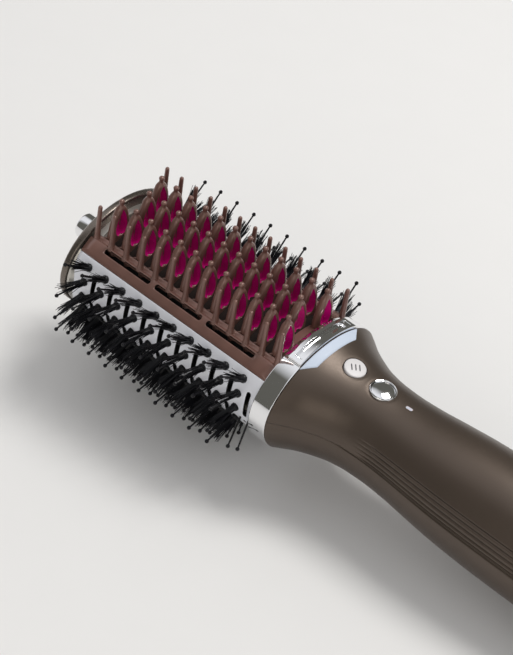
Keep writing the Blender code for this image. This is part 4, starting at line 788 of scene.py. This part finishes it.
LEAF_SHARE, LEAF_EDGE, LEAF_HOLLOW = 0.89, 0.14, 1.22
WINDOW_SHARE, WALL_SHARE, WEB_HALF = 0.80, 0.76, 0.2
TIP_ROWS = 9
half_columns = np.array((0.0, 0.25, 0.5, 0.70, WALL_SHARE, WINDOW_SHARE, 0.86, 0.92, 0.97, 1.0))
fin_columns = np.concatenate((-half_columns[:0:-1], half_columns))


def fin_section(depth):
    """Half width, half thickness, half width of the window's grid lines, and of the leaf."""
    wide = np.interp(depth, FIN_DEPTHS, FIN_WIDE)
    thick = np.interp(depth, FIN_DEPTHS, FIN_THICK)
    leaf = LEAF_SHARE * np.interp(depth, LEAF_DEPTHS, LEAF_WIDE, 0.0, 0.0)
    return (v[:, None] for v in (wide, thick, np.maximum(leaf, 0.22 * wide), leaf))


def there_and_back(front_y, front_x, depth):
    """A closed form from a front face and its mirror image: y there and back, x then -x."""
    y = np.concatenate((front_y, front_y[:, -2:0:-1]), 1)
    x = np.concatenate((-front_x, front_x[:, -2:0:-1]), 1)
    return sheet(points_at(x, y, -depth[:, None]), True)


def fin_shape():
    """A fin under its tip: flat faces, round flanks, and a deep window on both faces."""
    depth = np.concatenate((FIN_DEPTHS[:TIP_ROWS], (4.1,), LEAF_DEPTHS, (17.2, 18.4)))
    wide, thick, window, leaf = fin_section(depth)
    s = np.abs(fin_columns)[None, :]
    inner = window * s / WINDOW_SHARE
    outer = window + (wide - window) * (s - WINDOW_SHARE) / (1.0 - WINDOW_SHARE)
    y = np.where(s <= WINDOW_SHARE, inner, outer)
    way_out = y / np.maximum(wide, 1e-6)
    share = np.clip((way_out - 0.62) / 0.38, 0.0, 1.0)
    boxy = eased((depth[:, None] - 2.6) / 2.0)
    lathe = np.sqrt(np.clip(1.0 - way_out**2, 0.0, 1.0))
    x = thick * (boxy * np.sqrt(1.0 - share**2) + (1.0 - boxy) * lathe)
    x = np.where((s <= WALL_SHARE) & (leaf > 0.2), WEB_HALF, x)
    return there_and_back(y * np.sign(fin_columns)[None, :], x, depth)


def leaf_shape():
    """The magenta blade: front at thick - edge - hollow*(1 - s^1.5), closed at both ends."""
    wide, thick, window, leaf = fin_section(LEAF_DEPTHS)
    s = np.linspace(-1.0, 1.0, 11)[None, :]
    closing = np.sin(math.pi * np.linspace(0.0, 1.0, len(LEAF_DEPTHS)))[:, None] > 1e-6
    hollow = LEAF_HOLLOW * np.clip(leaf / 2.2, 0.0, 1.0)
    front = closing * (thick - LEAF_EDGE - hollow * (1.0 - np.abs(s) ** 1.5))
    return there_and_back(closing * window * s * 0.98, front, LEAF_DEPTHS)


print("points in one fin:", len(fin_shape()[0]))

# %% [markdown]
# The fins stand in three rows, the middle one half a pitch off. Outside them
# stand plain pins, and two low ribs run to each outer fin from the pins by it.

# %% Fins, pins and ribs of the comb
FIN_PITCH, FIN_COUNT = 7.6, 12
FIN_FIRST_X, FIN_ROW_Y, FIN_TOP = 90.66, 11.0, 35.8
MIDDLE_FIRST_X, MIDDLE_TOP = 86.86, 36.5
PIN_FIRST_X, PIN_ROW_Y, PIN_TOP = 94.46, 18.4, 34.1
RIB_START_Y, RIB_START_Z, RIB_STOP_Y, RIB_STOP_Z = 18.0, 18.2, 15.2, 19.9
PIN_RADII = (0.0, 0.35, 0.62, 0.80, 0.88, 0.92, 1.02, 1.16, 1.30, 1.75)
PIN_HEIGHTS = (0.0, -0.08, -0.25, -0.6, -1.1, -3.0, -8.0, -13.0, -15.0, -16.2)
RIB_SECTION = np.array(
    (
        (-0.55, -4.2), (-0.34, -0.35), (-0.2, -0.08), (0.0, 0.0), (0.2, -0.08), (0.34, -0.35),
        (0.55, -4.2),
    )
)


def row_of(first_x, count):
    """Places along the brush, one pitch apart from the tip towards the collar."""
    return first_x - FIN_PITCH * np.arange(count)


def on_both_sides(x, y, z):
    """The same row of spots at -y and at y."""
    return np.concatenate([points_at(x, side * y, z) for side in SIDES])


def ribs(starts, stops):
    """Low walls from start to stop: a round-topped section carried along a straight line."""
    across = unit(np.cross(stops - starts, (0.0, 0.0, 1.0)))
    side = RIB_SECTION[None, :, :1] * across[:, None, :]
    side = side + RIB_SECTION[None, :, 1:] * np.array((0.0, 0.0, 1.0))
    points = np.concatenate((starts[:, None] + side, stops[:, None] + side), 1)
    corners = len(RIB_SECTION)
    cap = np.arange(corners)
    ends = np.stack((cap, cap[::-1] + corners))
    shapes = (grid_faces(2, corners, True), ends)
    return [(points.reshape(-1, 3), repeated(f, *points.shape[:2])) for f in shapes]


outer_x = row_of(FIN_FIRST_X, FIN_COUNT)
middle_row = points_at(row_of(MIDDLE_FIRST_X, FIN_COUNT - 1), 0.0, MIDDLE_TOP)
fin_spots = np.concatenate((on_both_sides(outer_x, FIN_ROW_Y, FIN_TOP), middle_row))
pin_spots = on_both_sides(row_of(PIN_FIRST_X, FIN_COUNT + 1), PIN_ROW_Y, PIN_TOP)
rib_x = np.repeat(outer_x, 2)
rib_step = np.tile((-FIN_PITCH / 2.0, FIN_PITCH / 2.0), FIN_COUNT)
rib_starts = on_both_sides(rib_x + rib_step, RIB_START_Y, RIB_START_Z)
rib_stops = on_both_sides(rib_x, RIB_STOP_Y, RIB_STOP_Z)
comb_parts = [
    scattered(*fin_shape(), fin_spots),
    scattered(*turned_shape(PIN_RADII, PIN_HEIGHTS, 14), pin_spots),
    *ribs(rib_starts, rib_stops),
]
leaf_parts = [scattered(*leaf_shape(), fin_spots)]
make_piece("comb_fins", comb_parts, [comb_brown], "comb_plate", sharp=50.0)
make_piece("comb_leaves", leaf_parts, [leaf_magenta], "comb_insert", sharp=60.0)

# %% [markdown]
# The tip is turned work: a thin silver ring and a bronze cap with the head's
# oval section, and a polished round knob. Each is a profile carried round, and
# the ring's profile sinks out of sight where the comb ends over it.

# %% The silver ring
TIP_X = np.array((94.5, 94.5, 94.8, 96.2, 96.6, 97.0, 97.15, 97.15))
TIP_OUT = np.array((-3.4, -1.45, -1.15, -0.1, 0.2, 0.25, 0.1, -3.4))
TIP_SUNK, TIP_INNER = 3.4, -4.0
OVAL_SIDES = 168
by_the_edge = COMB_EDGE + even(-0.05, 0.01, 10)
whole_turn = even(-math.pi, math.pi, OVAL_SIDES)[:-1]
tip_turn = np.unique(np.concatenate((whole_turn, by_the_edge, -by_the_edge)))
under_comb = eased((COMB_EDGE - 0.01 - np.abs(tip_turn)) / 0.03)
tip_out = TIP_OUT[:, None]
tip_rise = np.minimum(tip_out, tip_out * (1.0 - under_comb) - TIP_SUNK * under_comb)
tip_rings = barrel_oval(TIP_X[:, None], tip_turn[None, :], tip_rise)
for end in (0, -1):
    tip_rings[end] = barrel_skin(TIP_X[end], tip_turn, TIP_INNER)
tip_rings = np.concatenate((tip_rings, tip_rings[:1]))
make_piece("tip_ring_turned", [sheet(tip_rings, True)], [ring_silver], "tip_ring")

# %% [markdown]
# The cap's dome isn't an offset of the barrel: from station to station its oval
# shrinks down to the round seat of the knob. The cap is a closed profile with a
# bore for the knob's stem, and the knob starts and ends on the axis.

# %% The end cap and its knob
CAP_RIM, CAP_DOME, CAP_SEAT, CAP_POWER = 100.4, 6.6, 7.2, 2.2
CAP_IN = ((92.7, -8.0), (92.7, -3.6), (97.16, -3.6), (97.18, -0.2), (97.3, -0.2))
CAP_OUT = ((97.32, 0.45), (97.5, 0.75), (97.9, 0.95), (99.5, 1.0), (100.0, 0.85), (100.3, 0.5))
KNOB_SEAT = ((107.1, 6.6), (107.0, 5.35), (106.2, 5.3), (106.2, 2.9), (92.7, 2.9))
KNOB = (
    (92.7, 0.0), (92.7, 2.6), (106.3, 2.6), (106.3, 4.9), (109.2, 5.0), (110.4, 5.0),
    (110.6, 4.9), (111.0, 4.9), (111.2, 5.2), (117.0, 5.3), (117.5, 5.15), (117.85, 4.8),
    (118.0, 4.3), (118.0, 0.0),
)


def oval_turned(profile, sides, closed):
    """Rings of an oval for each station (x, half width, half height, lift)."""
    x, wide, high, lift = profile.T[:, :, None]
    turn = 2.0 * math.pi * np.arange(sides)[None, :] / sides
    rings = points_at(x, *oval(wide, high, turn, lift))
    return sheet(np.concatenate((rings, rings[:1])) if closed else rings, True)


def oval_stations(pairs):
    """Stations from pairs (x, out) whose half axes are the barrel's plus out."""
    x, out = np.array(pairs).T
    high = BARREL_HALF_HEIGHT + out
    return np.stack((x, BARREL_HALF_WIDTH + out, high, BARREL_LIFT + 0.0 * x), -1)


def round_stations(pairs):
    """Stations from pairs (x, radius) on the brush's axis."""
    x, radius = np.array(pairs).T
    return np.stack((x, radius, radius, 0.0 * x), -1)


dome_share = np.linspace(1.0, 0.0, 25)[1:]
dome_x = CAP_RIM + CAP_DOME * (1.0 - dome_share**CAP_POWER)
dome_wide = CAP_SEAT + (BARREL_HALF_WIDTH + 0.3 - CAP_SEAT) * dome_share
dome_high = CAP_SEAT + (BARREL_HALF_HEIGHT - CAP_SEAT) * dome_share
dome = np.stack((dome_x, dome_wide, dome_high, BARREL_LIFT * dome_share), -1)
cap_profile = np.concatenate((oval_stations(CAP_IN + CAP_OUT), dome, round_stations(KNOB_SEAT)))
cap_parts = [oval_turned(cap_profile, OVAL_SIDES, True)]
knob_parts = [oval_turned(round_stations(KNOB), 96, False)]
make_piece("end_cap_turned", cap_parts, [cap_bronze], "end_cap")
make_piece("tip_knob_turned", knob_parts, [chrome], "tip_knob")

# %% [markdown]
# The collar is plated metal, and plating shows every bump, so its surface has
# to be exact. It is one ring whose radius is a function of the angle and of
# the place along the brush: a raised bridge over the top and a channel in it.

# %% The collar
COLLAR_OUT, COLLAR_INNER = 1.35, 0.3
FRONT_BEVEL, REAR_BEVEL = 0.5, 0.25
BRIDGE_EDGE, BRIDGE_RISE = math.radians(31.0), 1.1
CHANNEL_EDGE, CHANNEL_DEPTH = math.radians(26.0), 1.55
CHANNEL_FROM, CHANNEL_TO, CHANNEL_EASE = -0.7, -3.9, 0.35


def collar_out(x, angle):
    """Height over the barrel: band, bevels, plus the bridge and minus its channel."""
    fold = np.abs(angle)
    front = np.clip((COLLAR_FRONT - x) / FRONT_BEVEL, 0.0, 1.0)
    rear = np.clip((x - COLLAR_REAR) / REAR_BEVEL, 0.0, 1.0)
    band = COLLAR_OUT - FRONT_BEVEL * (1.0 - np.sin(front * math.pi / 2.0))
    band = band - REAR_BEVEL * (1.0 - np.sin(rear * math.pi / 2.0))
    over = eased((BRIDGE_EDGE - fold) / math.radians(1.6))
    slope = np.clip((2.6 - x) / 1.8, 0.0, 1.0) ** 0.8
    channel = eased((CHANNEL_EDGE - fold) / math.radians(1.2))
    channel = channel * eased((CHANNEL_FROM - x) / CHANNEL_EASE)
    channel = channel * eased((x - CHANNEL_TO) / CHANNEL_EASE)
    return band + BRIDGE_RISE * over * slope - CHANNEL_DEPTH * channel


about_edge = np.radians(np.linspace(-2.2, 1.0, 14))
edge_angles = [side * (e + about_edge) for side in SIDES for e in (BRIDGE_EDGE, CHANNEL_EDGE)]
collar_turn = np.concatenate((np.linspace(-math.pi, math.pi, 241)[:-1], *edge_angles))
collar_turn = np.unique(np.round(collar_turn, 5))[None, :]
collar_x = np.concatenate(
    (
        COLLAR_FRONT - np.array((0.0, 0.05, 0.15, 0.3, 0.5)),
        np.linspace(2.3, -0.5, 13),
        np.linspace(-0.65, -1.15, 8),
        np.linspace(-1.5, -3.2, 6),
        np.linspace(-3.45, -4.0, 8),
        np.linspace(-4.2, -4.7, 3),
        COLLAR_REAR + np.array((0.25, 0.12, 0.05, 0.0)),
    )
)[:, None]
collar_skin = barrel_oval(collar_x, collar_turn, collar_out(collar_x, collar_turn))
inner_x = np.array((COLLAR_REAR, COLLAR_FRONT))[:, None]
collar_inner = barrel_oval(inner_x, collar_turn, COLLAR_INNER)
collar_rows = np.concatenate((collar_skin, collar_inner, collar_skin[:1]))
collar_parts = [sheet(collar_rows, True)]
make_piece("collar_plated", collar_parts, [chrome], "collar_ring", sharp=30.0)

# %% [markdown]
# The grip is a hand-sized loft. Its section is an oval by the collar and nearly
# round at the neck; a smooth curve through a few measured sections gives all
# that lies between, so the highlight runs along it without a kink.

# %% Sections of the grip
GRIP_FRONT, GRIP_NECK, GRIP_BELLY, GRIP_REAR = -5.3, -40.0, -110.0, -206.0
GRIP_LIFT, LIFT_GROWN = 1.0, 0.4
NECK_RADIUS, BELLY_GROWN, WIDE_GROWN, TALL_GROWN = 18.8, 3.7, 12.4, 4.6
flare_way, flare_wide, flare_tall = np.array(
    (
        (0.0, 1.0, 1.0), (0.09, 0.83, 0.79), (0.20, 0.61, 0.56), (0.36, 0.37, 0.33),
        (0.56, 0.14, 0.13), (0.78, 0.025, 0.025), (1.0, 0.0, 0.0),
    )
).T
belly_way, belly_grown = np.array(
    ((0.14, 0.12), (0.28, 0.38), (0.50, 0.74), (0.75, 0.94), (1.0, 1.0))
).T
rear_way, rear_fallen = np.array(((0.30, 0.12), (0.60, 0.45), (0.85, 0.80), (1.0, 1.0))).T
station_x = np.concatenate(
    (
        GRIP_FRONT + (GRIP_NECK - GRIP_FRONT) * flare_way,
        GRIP_NECK + (GRIP_BELLY - GRIP_NECK) * belly_way,
        GRIP_BELLY + (GRIP_REAR - GRIP_BELLY) * rear_way,
    )
)
belly = NECK_RADIUS + BELLY_GROWN * belly_grown
rear = NECK_RADIUS + BELLY_GROWN - BELLY_GROWN * rear_fallen
station_wide = np.concatenate((NECK_RADIUS + WIDE_GROWN * flare_wide, belly, rear))
station_tall = np.concatenate((NECK_RADIUS + TALL_GROWN * flare_tall, belly, rear))
rear_lift = np.full(len(belly) + len(rear), GRIP_LIFT)
station_lift = np.concatenate((GRIP_LIFT + LIFT_GROWN * flare_tall, rear_lift))


def smooth_through(x, knots, values):
    """A cubic through the knots whose slope at each is that of a monotone curve."""
    h = np.diff(knots)
    d = np.diff(values) / h
    slope = np.zeros_like(values)
    same = d[:-1] * d[1:] > 0.0
    w1, w2 = 2.0 * h[1:] + h[:-1], h[1:] + 2.0 * h[:-1]
    with np.errstate(divide="ignore", invalid="ignore"):
        mean = (w1 + w2) / (w1 / d[:-1] + w2 / d[1:])
    slope[1:-1] = np.where(same, mean, 0.0)
    slope[0], slope[-1] = d[0], d[-1]
    i = np.clip(np.searchsorted(knots, x) - 1, 0, len(knots) - 2)
    t = (x - knots[i]) / h[i]
    t2, t3 = t * t, t * t * t
    start = (2.0 * t3 - 3.0 * t2 + 1.0) * values[i] + (t3 - 2.0 * t2 + t) * h[i] * slope[i]
    return start + (3.0 * t2 - 2.0 * t3) * values[i + 1] + (t3 - t2) * h[i] * slope[i + 1]


knots = station_x[::-1]
sections = [values[::-1] for values in (station_wide, station_tall, station_lift)]


def grip_skin(x, angle, out=0.0):
    """A point of the grip: an oval whose half axes and lift follow the smooth curves."""
    wide, tall, lift = (smooth_through(x, knots, values) for values in sections)
    return points_at(x, *oval(wide + out, tall + out, angle, lift))


print("grip at the neck", grip_skin(GRIP_NECK, 0.0))

# %% [markdown]
# Five fine grooves run along each flank from behind the neck. The seam between
# the two halves is a wider one, and it fades out towards the collar. Grid lines
# crowd round each of them, so that a groove is a form and not only a shade.

# %% Grooves and the seam
GROOVE_ANGLES = np.radians((62.0, 67.0, 72.0, 77.0, 81.0))
GROOVE_DEPTH, GROOVE_HALF_WIDTH = 0.50, math.radians(0.75)
GROOVES_FROM, GROOVES_EASE, GROOVES_TO = -34.0, 14.0, -203.0
SEAM_ANGLE, SEAM_GAP, SEAM_DEPTH = math.radians(84.0), 0.0002, 0.35
SEAM_HALF_WIDTH, SEAM_SLOPE = 0.022, 0.018
SEAM_FROM, SEAM_EASE = -24.0, 9.0


def groove(x, angle):
    """Depth of the fine grooves: narrow bells about five angles, faded in behind the neck."""
    gap = np.min(np.abs(folded(angle)[..., None] - GROOVE_ANGLES), -1)
    start = eased((GROOVES_FROM - x) / GROOVES_EASE) * eased((x - GROOVES_TO) / 6.0)
    return GROOVE_DEPTH * np.exp(-((gap / GROOVE_HALF_WIDTH) ** 2)) * start


def seam(x, angle):
    """Depth of the seam between the halves, from a distance behind the collar."""
    away = np.abs(folded(angle) - SEAM_ANGLE)
    start = eased((SEAM_FROM - x) / SEAM_EASE)
    return SEAM_DEPTH * eased((SEAM_HALF_WIDTH - away) / SEAM_SLOPE) * start


groove_lines = np.concatenate(
    [g + np.radians((-1.7, -1.0, -0.5, 0.0, 0.5, 1.0, 1.7)) for g in GROOVE_ANGLES]
)
print(len(groove_lines), "grid lines follow the grooves")

# %% [markdown]
# Each half of the grip is one sheet, which a modifier thickens into a wall. The
# upper half has openings for the two buttons and the light; they are tiles of
# the same kind as the barrel's slots, and a shallow dish surrounds each button.

# %% The upper half of the grip
MODE_X, POWER_X, LED_X = -18.2, -31.5, -43.5
MODE_RADIUS, RING_RADIUS = 4.3, 5.2
OPENINGS = ((MODE_X, 4.45, 4.45), (POWER_X, 5.32, 5.32), (LED_X, 1.5, 0.8))
DISH_DEPTH, DISH_FLAT, DISH_EASE = 0.10, 0.2, 1.1
TILE_HALF_ANGLE = math.radians(24.0)
TILE_X = (GRIP_FRONT, -10.6, -24.6, -38.6, -48.0)
TILE_FACES, TILE_RINGS = 12, 8
ARC_AT_TOP = 20.6
GRIP_WALL = 2.0


def upper_skin(x, angle):
    """The outer skin of the upper half, with grooves and a shallow dish round each button."""
    dish = 0.0
    for place, radius in ((MODE_X, MODE_RADIUS), (POWER_X, RING_RADIUS)):
        away = np.hypot(x - place, angle * ARC_AT_TOP)
        dish = dish + DISH_DEPTH * (1.0 - eased((away - radius - DISH_FLAT) / DISH_EASE))
    return grip_skin(x, angle, -groove(x, angle) - dish - seam(x, angle))


kept_lines = groove_lines[groove_lines < SEAM_ANGLE - 0.01]
flank_lines = np.linspace(TILE_HALF_ANGLE, SEAM_ANGLE - SEAM_GAP, 16)
middle_lines = np.linspace(-TILE_HALF_ANGLE, TILE_HALF_ANGLE, 13)
upper_lines = np.concatenate((flank_lines, -flank_lines, middle_lines, kept_lines, -kept_lines))
upper_lines = np.unique(np.round(upper_lines, 6))
line_x = lines_through((*TILE_X, GRIP_REAR), (*[TILE_FACES] * 4, 53))
flanks = [upper_lines[side * upper_lines >= TILE_HALF_ANGLE - 1e-5] for side in SIDES]
middle = upper_lines[np.abs(upper_lines) <= TILE_HALF_ANGLE + 1e-5]
before, behind = line_x[: TILE_FACES + 1], line_x[TILE_FACES * 4 :]
upper_parts = [
    sheet(upper_skin(xs[:, None], lines[None, :]))
    for xs, lines in ((line_x, flanks[0]), (line_x, flanks[1]), (before, middle), (behind, middle))
]
reach = TILE_HALF_ANGLE * ARC_AT_TOP
for low_x, high_x, (place, half_x, half_u) in zip(TILE_X[2:], TILE_X[1:], OPENINGS):
    x_lines = even(low_x, high_x, TILE_FACES)
    hole = (place, 0.0, half_x, half_u)
    x, u, faces = holed_tile(x_lines, even(-reach, reach, 12), hole, TILE_RINGS)
    upper_parts.append((upper_skin(x, u / ARC_AT_TOP), faces))
make_piece(
    "grip_upper_shell", upper_parts, [grip_bronze], "upper_grip", wall=GRIP_WALL
)

# %% [markdown]
# The lower half is plainer. It needs no tiles and no grooves, only grid lines
# that crowd at its two edges, where the seam falls away between the halves.

# %% The lower half of the grip
SEAM_LINES_TO = SEAM_ANGLE + 0.03
seam_lines = np.linspace(SEAM_ANGLE + SEAM_GAP, SEAM_LINES_TO, 5)[:-1]
under_turn = np.concatenate(
    (
        seam_lines,
        np.linspace(SEAM_LINES_TO, 2.0 * math.pi - SEAM_LINES_TO, 73),
        2.0 * math.pi - seam_lines[::-1],
    )
)[None, :]
under_x = line_x[:, None]
under_parts = [sheet(grip_skin(under_x, under_turn, -seam(under_x, under_turn)))]
make_piece(
    "grip_lower_shell", under_parts, [grip_bronze], "lower_grip", wall=GRIP_WALL
)

# %% [markdown]
# The pale tongue is a thin plate that follows the grip just behind the bridge.
# Its ends are cut on a slant, because it gets narrower towards the buttons.

# %% The tongue
TONGUE_FRONT, TONGUE_LENGTH, TONGUE_ANGLE, TONGUE_TAPER = -5.35, 3.75, math.radians(31.8), 0.28
TONGUE_OUT, TONGUE_UNDER, TONGUE_EDGE = 0.42, -1.2, 0.25
a = np.linspace(0.0, 1.0, 12)[:, None]
b = np.linspace(-1.0, 1.0, 61)[None, :]
tongue_x = TONGUE_FRONT - TONGUE_LENGTH * a
tongue_angle = TONGUE_ANGLE * b * (1.0 - TONGUE_TAPER * a)
inside = eased((1.0 - np.abs(2.0 * a - 1.0)) / 0.16) * eased((1.0 - np.abs(b)) / 0.03)
tongue_top = grip_skin(tongue_x, tongue_angle, TONGUE_OUT - TONGUE_EDGE * (1.0 - inside))
tongue_under = grip_skin(tongue_x, tongue_angle, TONGUE_UNDER)
tongue_parts = [slab(tongue_top, tongue_under)]
make_piece("collar_tongue_plate", tongue_parts, [tongue_pale], "collar_tongue")

# %% [markdown]
# Both buttons are lathe work on a slanted axis. The white one has a nearly flat
# crown with three short bars; the plated one is a dome in its own ring. The
# light behind them is a small lens that follows the grip.

# %% Buttons, ring and light
def slanted_axes(slant):
    """Axes of a button: X along the brush, Y across, Z out, turned by the slant about Y."""
    s, c = math.sin(slant), math.cos(slant)
    return np.array(((c, 0.0, -s), (0.0, 1.0, 0.0), (s, 0.0, c)))[None]


MODE_SEAT = (np.array(((MODE_X, 0.0, 21.50),)), slanted_axes(math.radians(-12.0)))
POWER_SEAT = (np.array(((POWER_X, 0.0, 20.35),)), slanted_axes(math.radians(-3.0)))
CROWN_RADIUS, CROWN_TOP, CROWN_FALL, CROWN_POWER = MODE_RADIUS - 0.35, 0.08, 0.22, 2.2
MARK_TURN, MARK_STEP, MARK_HALF_LENGTH, MARK_HALF_WIDTH = math.radians(45.0), 1.55, 1.55, 0.24
MARK_PROUD, MARK_DEPTH = 0.035, 0.15
DOME_RADIUS, DOME_TOP, DOME_FALL = 4.35, 0.25, 0.75
LED_HALF_LENGTH, LED_HALF_WIDTH, LED_RISE, LED_SUNK, LED_UNDER = 1.42, 0.74, 0.12, 0.08, -1.4
crown = np.linspace(0.0, 1.0, 12)


def crown_height(share):
    """Height of the white crown: top - fall * share^power."""
    return CROWN_TOP - CROWN_FALL * share**CROWN_POWER


mode_wall = MODE_RADIUS - np.array((0.15, 0.04, 0.0, 0.0))
mode_radii = np.concatenate((CROWN_RADIUS * crown, mode_wall, [0.0]))
mode_heights = np.concatenate((crown_height(crown), (-0.24, -0.38, -0.60, -4.0, -4.0)))
mode_parts = [scattered(*turned_shape(mode_radii, mode_heights, 72), *MODE_SEAT)]
a = np.linspace(-1.0, 1.0, 13)[:, None]
b = np.linspace(-1.0, 1.0, 5)[None, :]
mark_width = np.sqrt(np.clip(1.0 - np.abs(a) ** 8, 0.0, 1.0))
for step in (-1.0, 0.0, 1.0):
    across = MARK_HALF_WIDTH * b * mark_width + MARK_STEP * step
    length = MARK_HALF_LENGTH * a
    top = crown_height(np.hypot(across, length) / CROWN_RADIUS)
    mark_x = across * math.cos(MARK_TURN) - length * math.sin(MARK_TURN)
    mark_y = across * math.sin(MARK_TURN) + length * math.cos(MARK_TURN)
    skins = (points_at(mark_x, mark_y, top + rise) for rise in (MARK_PROUD, -MARK_DEPTH))
    mode_parts.append((*scattered(*slab(*skins), *MODE_SEAT), 1))
make_piece(
    "mode_button_cap", mode_parts, [button_white, mark_grey], "mode_button",
    body="mode_button",
)
power_radii = np.concatenate((DOME_RADIUS * crown, (4.5, 4.56, 4.56, 0.0)))
power_heights = np.concatenate((DOME_TOP - DOME_FALL * crown**2, (-0.6, -0.8, -4.0, -4.0)))
power_parts = [scattered(*turned_shape(power_radii, power_heights, 84), *POWER_SEAT)]
make_piece(
    "power_button_dome", power_parts, [chrome], "power_button", body="power_button"
)
ring_radii = (4.66, 4.68, 4.74, 4.86, 5.00, 5.14, RING_RADIUS, RING_RADIUS, 4.66, 4.66)
ring_heights = (-0.35, -0.18, -0.06, -0.02, -0.1, -0.3, -0.6, -1.5, -1.5, -0.35)
ring_parts = [scattered(*turned_shape(ring_radii, ring_heights, 84), *POWER_SEAT)]
make_piece("power_ring_turned", ring_parts, [chrome], "power_ring")
a = np.linspace(-1.0, 1.0, 15)[:, None]
b = np.linspace(-1.0, 1.0, 9)[None, :]
led_x = LED_X + LED_HALF_LENGTH * a
led_angle = LED_HALF_WIDTH * b * (1.0 - np.abs(a) ** 6 * 0.5) / ARC_AT_TOP
led_top = grip_skin(led_x, led_angle, LED_RISE * (1.0 - a**4) * (1.0 - b**4) - LED_SUNK)
led_parts = [slab(led_top, grip_skin(led_x, led_angle, LED_UNDER))]
make_piece("led_window", led_parts, [led_pale], "led_lens")

# %% [markdown]
# The floor is a plain pale sheet. The main light is a soft lamp high up on the
# far side, as from a window, so the shadow falls towards the camera. A weak
# warm lamp stands lower on the near side, and puts the sheen on the neck.

# %% Floor and lamps
FLOOR_HALF = 6.0
BRUSH_MIDDLE = np.array((0.05, 0.0, 0.03))
floor_pale = make_finish(
    "floor_pale", (0.80, 0.795, 0.785), 0.9, cloud=0.004, grain=300.0, bump=0.01, specular=0.1
)
floor_line = np.linspace(-FLOOR_HALF, FLOOR_HALF, 9)
floor_points, floor_faces = sheet(points_at(floor_line[:, None], floor_line[None, :], 0.0))
floor_mesh = bpy.data.meshes.new("floor")
floor_mesh.from_pydata(floor_points, [], floor_faces.tolist())
floor_mesh.materials.append(floor_pale)
floor = bpy.data.objects.new("floor", floor_mesh)
bpy.context.scene.collection.objects.link(floor)


def lamp_at(name, offset, size, power, colour):
    """A square area lamp at an offset from the brush's middle, facing it."""
    light = bpy.data.lights.new(name, "AREA")
    light.size = size
    light.energy = power
    light.color = colour
    away = unit(np.array(offset))
    side = unit(np.cross((0.0, 0.0, 1.0), away))
    aimed(name, light, BRUSH_MIDDLE + offset, (side, np.cross(away, side), away))


lamp_at("window_lamp", (-0.30, -0.66, 1.48), 0.62, 15.5, (1.0, 0.985, 0.96))
lamp_at("fill_lamp", (-0.50, 1.45, 0.70), 0.9, 4.0, (1.0, 0.95, 0.88))
print("two lamps over a pale floor")

# %% [markdown]
# Chrome looks like what stands round it. So the world is a plain sky for light,
# and for mirrored rays a room that is bright overhead and along the brush and
# dim to both sides, with a border that a wide noise makes uneven.

# %% A room for the chrome to mirror
ROOM_DIM, ROOM_BRIGHT = (0.115, 0.113, 0.100, 1.0), (0.86, 0.87, 0.90, 1.0)
PLAIN_SKY = (0.52, 0.52, 0.525, 1.0)
ROOM_NOISE, ROOM_UNEVEN = 1.7, 0.5
DIM_FROM, DIM_TO = 0.36, 0.74
world = bpy.data.worlds.new("studio")
world.use_nodes = True
tree = world.node_tree
way = add_node(tree, "TexCoord", {}).outputs["Generated"]
noise = add_node(tree, "TexNoise", {"Scale": ROOM_NOISE, "Detail": 1.0, "Vector": way})
sideways = add_node(tree, "SeparateXYZ", {"Vector": way}).outputs["Y"]
sideways = add_node(tree, "Math", {0: sideways}, operation="ABSOLUTE").outputs["Value"]
values = {0: noise.outputs["Fac"], 1: ROOM_UNEVEN, 2: sideways}
border = add_node(tree, "Math", values, operation="MULTIPLY_ADD").outputs["Value"]
values = {"From Min": DIM_FROM, "From Max": DIM_TO, "Value": border}
dim = add_node(tree, "MapRange", values, interpolation_type="SMOOTHSTEP").outputs["Result"]
mirrored = add_node(tree, "LightPath", {}).outputs["Is Glossy Ray"]
sky = mixed(tree, mirrored, PLAIN_SKY, mixed(tree, dim, ROOM_BRIGHT, ROOM_DIM))
set_sockets(tree, tree.nodes["Background"], {"Color": sky})
bpy.context.scene.world = world
print("a plain sky for light, and a room that is dim to both sides for reflections")

# %% [markdown]
# The inner pieces, the rear inlet and the gland keep their imported shape. They
# only get a finish in place of their plain colour.

# %% Finishes of the nodes that stay
# Partly painted shade: the heater's mica is made near-black, darker than mica, so that it reads as
# the shade inside the barrel.
heater_mica = make_finish("heater_mica", (0.045, 0.038, 0.030), 0.5, 0.3, grain=500.0)
board_green = make_finish("board_green", (0.02, 0.10, 0.045), 0.45, grain=700.0, coat=0.3)
inner_black = make_finish("inner_black", (0.02, 0.02, 0.022), 0.5)
motor_steel = make_finish(
    "motor_steel", (0.45, 0.45, 0.47), 0.3, 1.0, grain=500.0, stretch=(1.0, 6.0, 6.0)
)
inlet_dark = make_finish(
    "inlet_dark", (0.045, 0.038, 0.034), 0.45, 0.3, grain=1500.0, bump=0.12
)
gland_rubber = make_finish("gland_rubber", (0.022, 0.021, 0.022), 0.6, grain=1200.0, bump=0.15)
KEPT = {
    "switch_board": board_green,
    "mode_switch": inner_black,
    "power_switch": inner_black,
    "heater_core": heater_mica,
    "motor": motor_steel,
    "motor_mount": inner_black,
    "fan_rotor": inner_black,
    "inlet_grille": inlet_dark,
    "cord_gland": gland_rubber,
}
for node, finish in KEPT.items():
    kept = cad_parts[node]
    kept.data.materials.clear()
    kept.data.materials.append(finish)
print(len(KEPT), "nodes keep their packed shape")
